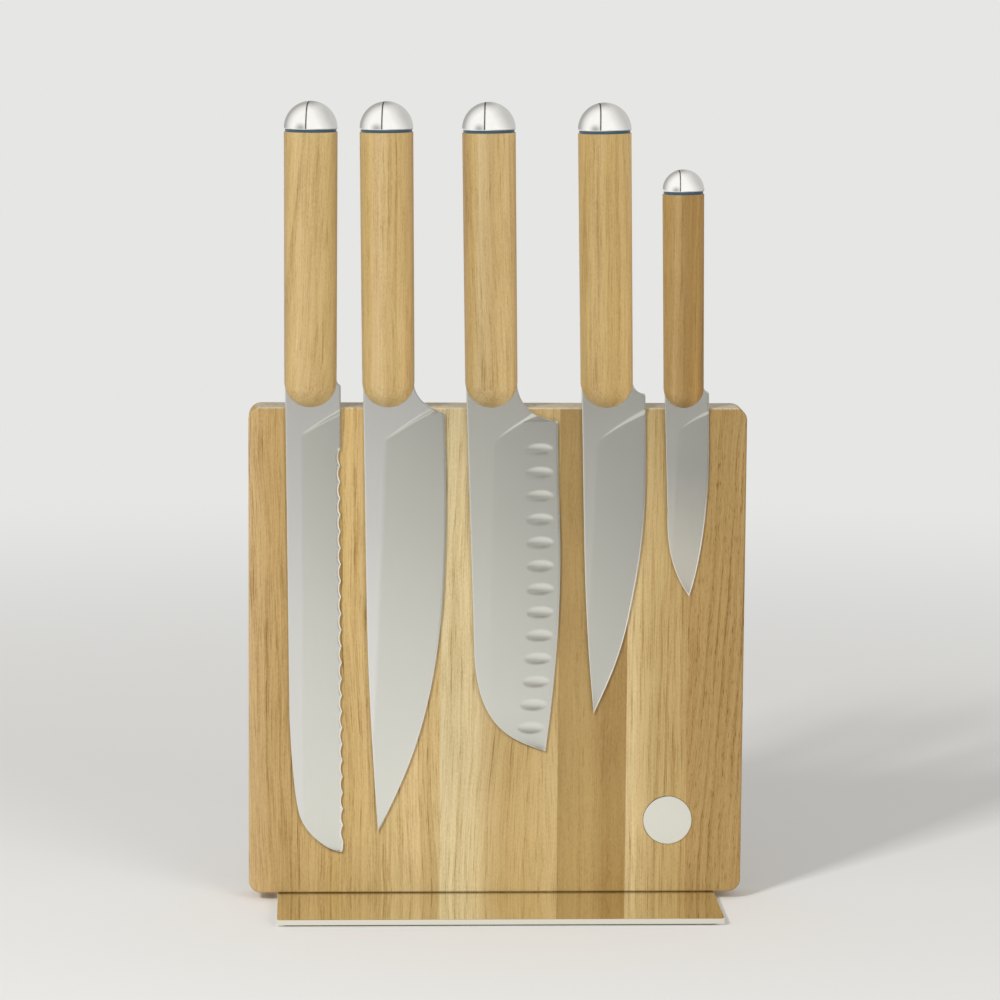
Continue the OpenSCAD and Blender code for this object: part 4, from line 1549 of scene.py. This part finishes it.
@dataclass
class Studio:
    """Pale floor, soft light and the camera. Lengths without a note are in metres.

    Attributes:
        eye: place of the camera, in millimetres.
        yaw: turn of the camera to the right, in degrees.
        pitch: how far the camera looks down, in degrees.
        roll: turn of the camera about its own axis, in degrees.
        lens: focal length on the sensor, in millimetres.
        sensor: width of the sensor, in millimetres.
        clip: nearest and farthest distance that the camera sees.
        floor_half: half the width of the floor.
        floor_colour: its colour.
        backdrop: colour of the backdrop.
        fade_out: distances between which the floor turns into the backdrop.
        front: direction from the stand to the front of the tent.
        tent_rim: brightness of the tent, from its middle to what lies behind.
        tent_right: factor on it, towards the right.
        tent_slope: how much the height adds to what counts as right.
        left_lift: where the left part of the tent gives way to the full brightness of the right.
        gap_place: place of the narrow gap between the front walls, and its slope.
        gap_width: half the gap's width, inside and with its soft edge.
        gap_tone: brightness in the gap.
        shape_place: middle of the grey shape in the tent, across and up.
        shape_size: half its width and height.
        shape_tone: brightness in its middle.
        tent_colour: colour of the tent.
        tent_strength: its strength in metal.
        daylight: strength of the light all around.
        floor_ahead: brightness of the floor in metal, by distance in front of the stand.
        floor_right: factor on it, by distance to the right.
        floor_tint: tint of that factor.
        floor_skew: how far that factor moves to the left for each metre ahead.
        flag_height: height of the grey flag.
        flag_parts: how far each of its parts reaches.
        flag_colour: its colour.
        lamps: name, place, width and watts of each lamp.
        lamp_aim: what the lamps point at.
    """

    eye: Point3 = (-89.927, -1944.099, 457.725)
    yaw: float = 2.692
    pitch: float = 7.746
    roll: float = 0.423
    lens: float = 147.77
    sensor: float = 36.0
    clip: Point = (0.05, 60.0)
    floor_half: float = 9.0
    floor_colour: str = "#f1f0ed"
    backdrop: str = "#e6e6e4"
    fade_out: Point = (0.3, 1.5)
    front: Point3 = (-0.0465, -0.998, 0.04)
    tent_rim: tuple[Point, ...] = (
        (0.0, 1.0), (0.66, 0.98), (0.78, 0.82), (0.86, 0.63), (0.91, 0.45), (0.97, 0.4), (1.0, 0.4)
    )
    tent_right: tuple[Point, ...] = (
        (0.0, 1.0), (0.35, 0.99), (0.5, 0.88), (0.65, 0.76), (0.78, 0.64), (0.9, 0.56)
    )
    tent_slope: float = 0.55
    left_lift: Point = (-0.1, 0.45)
    gap_place: Point = (0.163, -0.012)
    gap_width: Point = (0.014, 0.036)
    gap_tone: float = 0.05
    shape_place: Point = (-0.36, -0.02)
    shape_size: Point = (0.29, 0.28)
    shape_tone: float = 0.46
    tent_colour: Colour = (1.0, 0.995, 0.98, 1.0)
    tent_strength: float = 1.08
    daylight: float = 0.5
    floor_ahead: tuple[Point, ...] = (
        (0.0, 0.84), (0.05, 0.93), (0.1, 1.0), (0.2, 1.01), (0.35, 0.985), (0.8, 0.99), (1.0, 0.955),
        (1.2, 0.9), (1.4, 0.84), (1.6, 0.77), (1.9, 0.69), (2.4, 0.6), (4.0, 0.55), (10.0, 0.55),
    )
    floor_right: tuple[Point, ...] = (
        (-1.0, 1.0), (-0.2, 1.03), (-0.1, 1.0), (-0.05, 0.98), (0.0, 0.95), (0.05, 0.86), (0.1, 0.755),
        (0.2, 0.655), (0.27, 0.61), (0.33, 0.53), (0.38, 0.45), (0.43, 0.38), (0.52, 0.3), (0.61, 0.25),
        (0.73, 0.262), (0.85, 0.4), (2.0, 0.5),
    )
    floor_tint: Point3 = (1.0, 0.995, 0.97)
    floor_skew: float = 0.1
    flag_height: float = 0.262
    flag_parts: tuple[Span, ...] = ((-0.5, 0.1, -0.5, -0.03), (-0.5, 0.8, -4.0, -0.5))
    flag_colour: str = "#a19f99"
    lamps: tuple[tuple[str, Point3, float, float], ...] = (
        ("key_left", (-1.25, -1.7, 1.6), 0.35, 32.0),
        ("fill_right", (1.3, -2.0, 1.1), 1.2, 14.0),
    )
    lamp_aim: Point3 = (0.0, 0.0, 0.2)

    def add_camera(self) -> None:
        """Adds the camera and makes it the scene's."""
        yaw, pitch, roll = (math.radians(a) for a in (self.yaw, self.pitch, self.roll))
        look = Vector((math.sin(yaw) * math.cos(pitch), math.cos(yaw) * math.cos(pitch), -math.sin(pitch)))
        right = Vector((math.cos(yaw), -math.sin(yaw), 0.0))
        up = right.cross(look)
        right, up = right * math.cos(roll) + up * math.sin(roll), up * math.cos(roll) - right * math.sin(roll)
        data = bpy.data.cameras.new("camera")
        data.lens = self.lens
        data.sensor_width = self.sensor
        data.clip_start, data.clip_end = self.clip
        camera = bpy.data.objects.new("camera", data)
        bpy.context.scene.collection.objects.link(camera)
        turn = Matrix((right, up, -look)).transposed().to_4x4()
        camera.matrix_world = Matrix.Translation(Vector(self.eye) * MM) @ turn
        bpy.context.scene.camera = camera

    def add_stage(
        self, name: str, material_name: str, bm: bmesh.types.BMesh, seen: Callable[[Add], Socket]
    ) -> bpy.types.Object:
        """Adds a piece of the stage.

        Args:
            name: its name.
            material_name: name of its material.
            bm: its mesh, in metres. It is freed.
            seen: given what adds nodes to the material, gives back the shader for the output.

        Returns:
            The piece.
        """
        piece = link_mesh(bm, name)
        material = bpy.data.materials.new(material_name)
        add = start_nodes(material)
        add("OutputMaterial", (seen(add),))
        dress(piece, material)
        return piece

    def floor_shader(self, add: Add) -> Socket:
        """Lays out the pale floor. Metal sees it bright near the stand, darker in front and to the right.

        Args:
            add: adds a node to the floor's material.

        Returns:
            The shader.
        """
        matt = add("BsdfDiffuse", (linear(self.floor_colour),))[0]
        place = add("TexCoord")["Object"]
        x, y, _ = add("SeparateXYZ", (place,))
        path = add("LightPath")
        # The brightness that metal sees, by distance in front and by distance to the right
        reach = self.floor_ahead[-1][0]
        ahead = add("MapRange", (y, 0.0, -reach))[0]
        ahead = add("ValToRGB", (ahead,), [(d / reach, tone) for d, tone in self.floor_ahead])[0]
        shift = add("Math", (y, -self.floor_skew, -self.floor_skew), operation="MULTIPLY_ADD")[0]
        right = add("Math", (x, shift), operation="ADD")[0]
        low, high = self.floor_right[0][0], self.floor_right[-1][0]
        right = add("MapRange", (right, low, high))[0]
        tints = [
            ((d - low) / (high - low), (*(tone * tint for tint in self.floor_tint), 1.0))
            for d, tone in self.floor_right
        ]
        right = add("ValToRGB", (right,), tints)[0]
        both = add("Mix", {0: 1.0, 6: ahead, 7: right}, data_type="RGBA", blend_type="MULTIPLY")[2]
        metal = add("Emission", (both, 1.0))[0]
        mix = add("MixShader", (path["Is Glossy Ray"], matt, metal))[0]
        # Far off, the floor turns into the backdrop
        away = add("VectorMath", (place,), operation="LENGTH")["Value"]
        fade = add("MapRange", (away, *self.fade_out), interpolation_type="SMOOTHSTEP")[0]
        fade = add("Math", (fade, path["Is Camera Ray"]), operation="MULTIPLY")[0]
        return add("MixShader", (fade, mix, add("Emission", (linear(self.backdrop), 1.0))[0]))[0]

    def flag_shader(self, add: Add) -> Socket:
        """Lays out the grey flag over the floor: grey from below, clear from above.

        Args:
            add: adds a node to the flag's material.

        Returns:
            The shader.
        """
        below = add("NewGeometry")["Backfacing"]
        clear = add("BsdfTransparent", (WHITE,))[0]
        return add("MixShader", (below, clear, add("Emission", (linear(self.flag_colour), 1.0))[0]))[0]

    def add_floor(self) -> None:
        """Adds the pale floor."""
        bm = bmesh.new()
        bmesh.ops.create_grid(bm, x_segments=1, y_segments=1, size=self.floor_half)
        self.add_stage("floor", "pale_matt_floor", bm, self.floor_shader)

    def add_flag(self) -> None:
        """Adds the grey flag, which only metal can see, in what looks up, such as a hollow's lower half."""
        bm = bmesh.new()
        for x0, x1, y0, y1 in self.flag_parts:
            place = Matrix.Translation(((x0 + x1) / 2, (y0 + y1) / 2, self.flag_height))
            spread = place @ Matrix.Diagonal((x1 - x0, y1 - y0, 1, 1))
            bmesh.ops.create_grid(bm, x_segments=1, y_segments=1, size=0.5, matrix=spread)
        flag = self.add_stage("grey_flag", "grey_flag", bm, self.flag_shader)
        flag.visible_camera = flag.visible_diffuse = flag.visible_shadow = flag.visible_transmission = False

    def add_world(self) -> None:
        """Adds the surroundings: a soft pale tent, with a narrow gap that shows in polished metal."""
        world = bpy.data.worlds.new("studio_tent")
        bpy.context.scene.world = world
        add = start_nodes(world)
        smooth = {"interpolation_type": "SMOOTHSTEP"}

        # The tent is laid out by where its parts show on a ball that stands inside it
        half = add("VectorMath", (add("TexCoord")["Generated"], self.front))[0]
        half = add("VectorMath", (half,), operation="NORMALIZE")[0]
        across = Vector((-self.front[1], self.front[0], 0.0)).normalized()
        above = Vector(self.front).cross(across).normalized()
        above = above if above.z > 0 else -above
        u, w = (add("VectorMath", (half, way), operation="DOT_PRODUCT")["Value"] for way in (across, above))
        square = add("Math", (w, w), operation="MULTIPLY")[0]
        square = add("Math", (u, u, square), operation="MULTIPLY_ADD")[0]
        out = add("Math", (square,), operation="SQRT")[0]

        # Walls: brightest in front, greyer behind, overhead and to the right
        walls = add("ValToRGB", (out,), self.tent_rim)[0]
        lift = add("MapRange", (u, *self.left_lift), **smooth)[0]
        walls = add("Mix", {0: lift, 2: walls, 3: 1.0})[0]
        right = add("Math", (w, self.tent_slope, u), operation="MULTIPLY_ADD")[0]
        right = add("ValToRGB", (right,), self.tent_right)[0]
        # The gap between the two front walls
        middle, slope = self.gap_place
        gap = add("Math", (w, slope, middle), operation="MULTIPLY_ADD")[0]
        gap = add("Math", (u, gap), operation="ADD")[0]
        gap = add("Math", (gap,), operation="ABSOLUTE")[0]
        gap = add("MapRange", (gap, *self.gap_width, self.gap_tone, 1.0), **smooth)[0]
        # A grey shape low down to the left of the gap
        flat = add("CombineXYZ", (u, w))[0]
        flat = add("VectorMath", (flat, (*self.shape_place, 0.0)), operation="SUBTRACT")[0]
        flat = add("VectorMath", (flat, (*self.shape_size, 1.0)), operation="DIVIDE")[0]
        shape = add("VectorMath", (flat,), operation="LENGTH")["Value"]
        shape = add("MapRange", (shape, 0.0, 1.0, self.shape_tone, 1.0), **smooth)[0]
        tent: Any = self.tent_strength
        for factor in (walls, right, gap, shape):
            tent = add("Math", (factor, tent), operation="MULTIPLY")[0]

        glossy = add("Background", (self.tent_colour, tent))[0]
        plain = add("Background", (WHITE, self.daylight))[0]
        seen = add("Background", (linear(self.backdrop), 1.0))[0]
        path = add("LightPath")
        mix = add("MixShader", (path["Is Glossy Ray"], plain, glossy))[0]
        mix = add("MixShader", (path["Is Camera Ray"], mix, seen))[0]
        add("OutputWorld", (mix,))

    def add_lamps(self) -> None:
        """Adds the soft square lamps, which neither metal nor the camera sees."""
        for name, place, width, watts in self.lamps:
            data = bpy.data.lights.new(name, "AREA")
            data.shape = "RECTANGLE"
            data.size = data.size_y = width
            data.energy = watts
            lamp = bpy.data.objects.new(name, data)
            bpy.context.scene.collection.objects.link(lamp)
            way = Vector(self.lamp_aim) - Vector(place)
            lamp.matrix_world = Matrix.Translation(place) @ way.to_track_quat("-Z", "Y").to_matrix().to_4x4()
            lamp.visible_glossy = lamp.visible_camera = False

    def build(self) -> None:
        """Builds the studio."""
        self.add_camera()
        self.add_floor()
        self.add_flag()
        self.add_world()
        self.add_lamps()
        bpy.context.scene.view_settings.view_transform = "Standard"
        log.info("studio: camera, floor, tent and lamps")


def main() -> None:
    """Builds the stand, the knives and the studio, and reports each."""
    logging.basicConfig(level=logging.INFO, format="%(name)s: %(message)s")
    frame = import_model()
    nodes = frame["nodes"]
    studio = Studio()
    studio.build()
    finishes = shared_finishes()
    Board().build(nodes, finishes)
    Base().build(nodes, finishes)
    for knife in knives():
        knife.build(nodes, finishes)


if __name__ == "__main__":
    main()
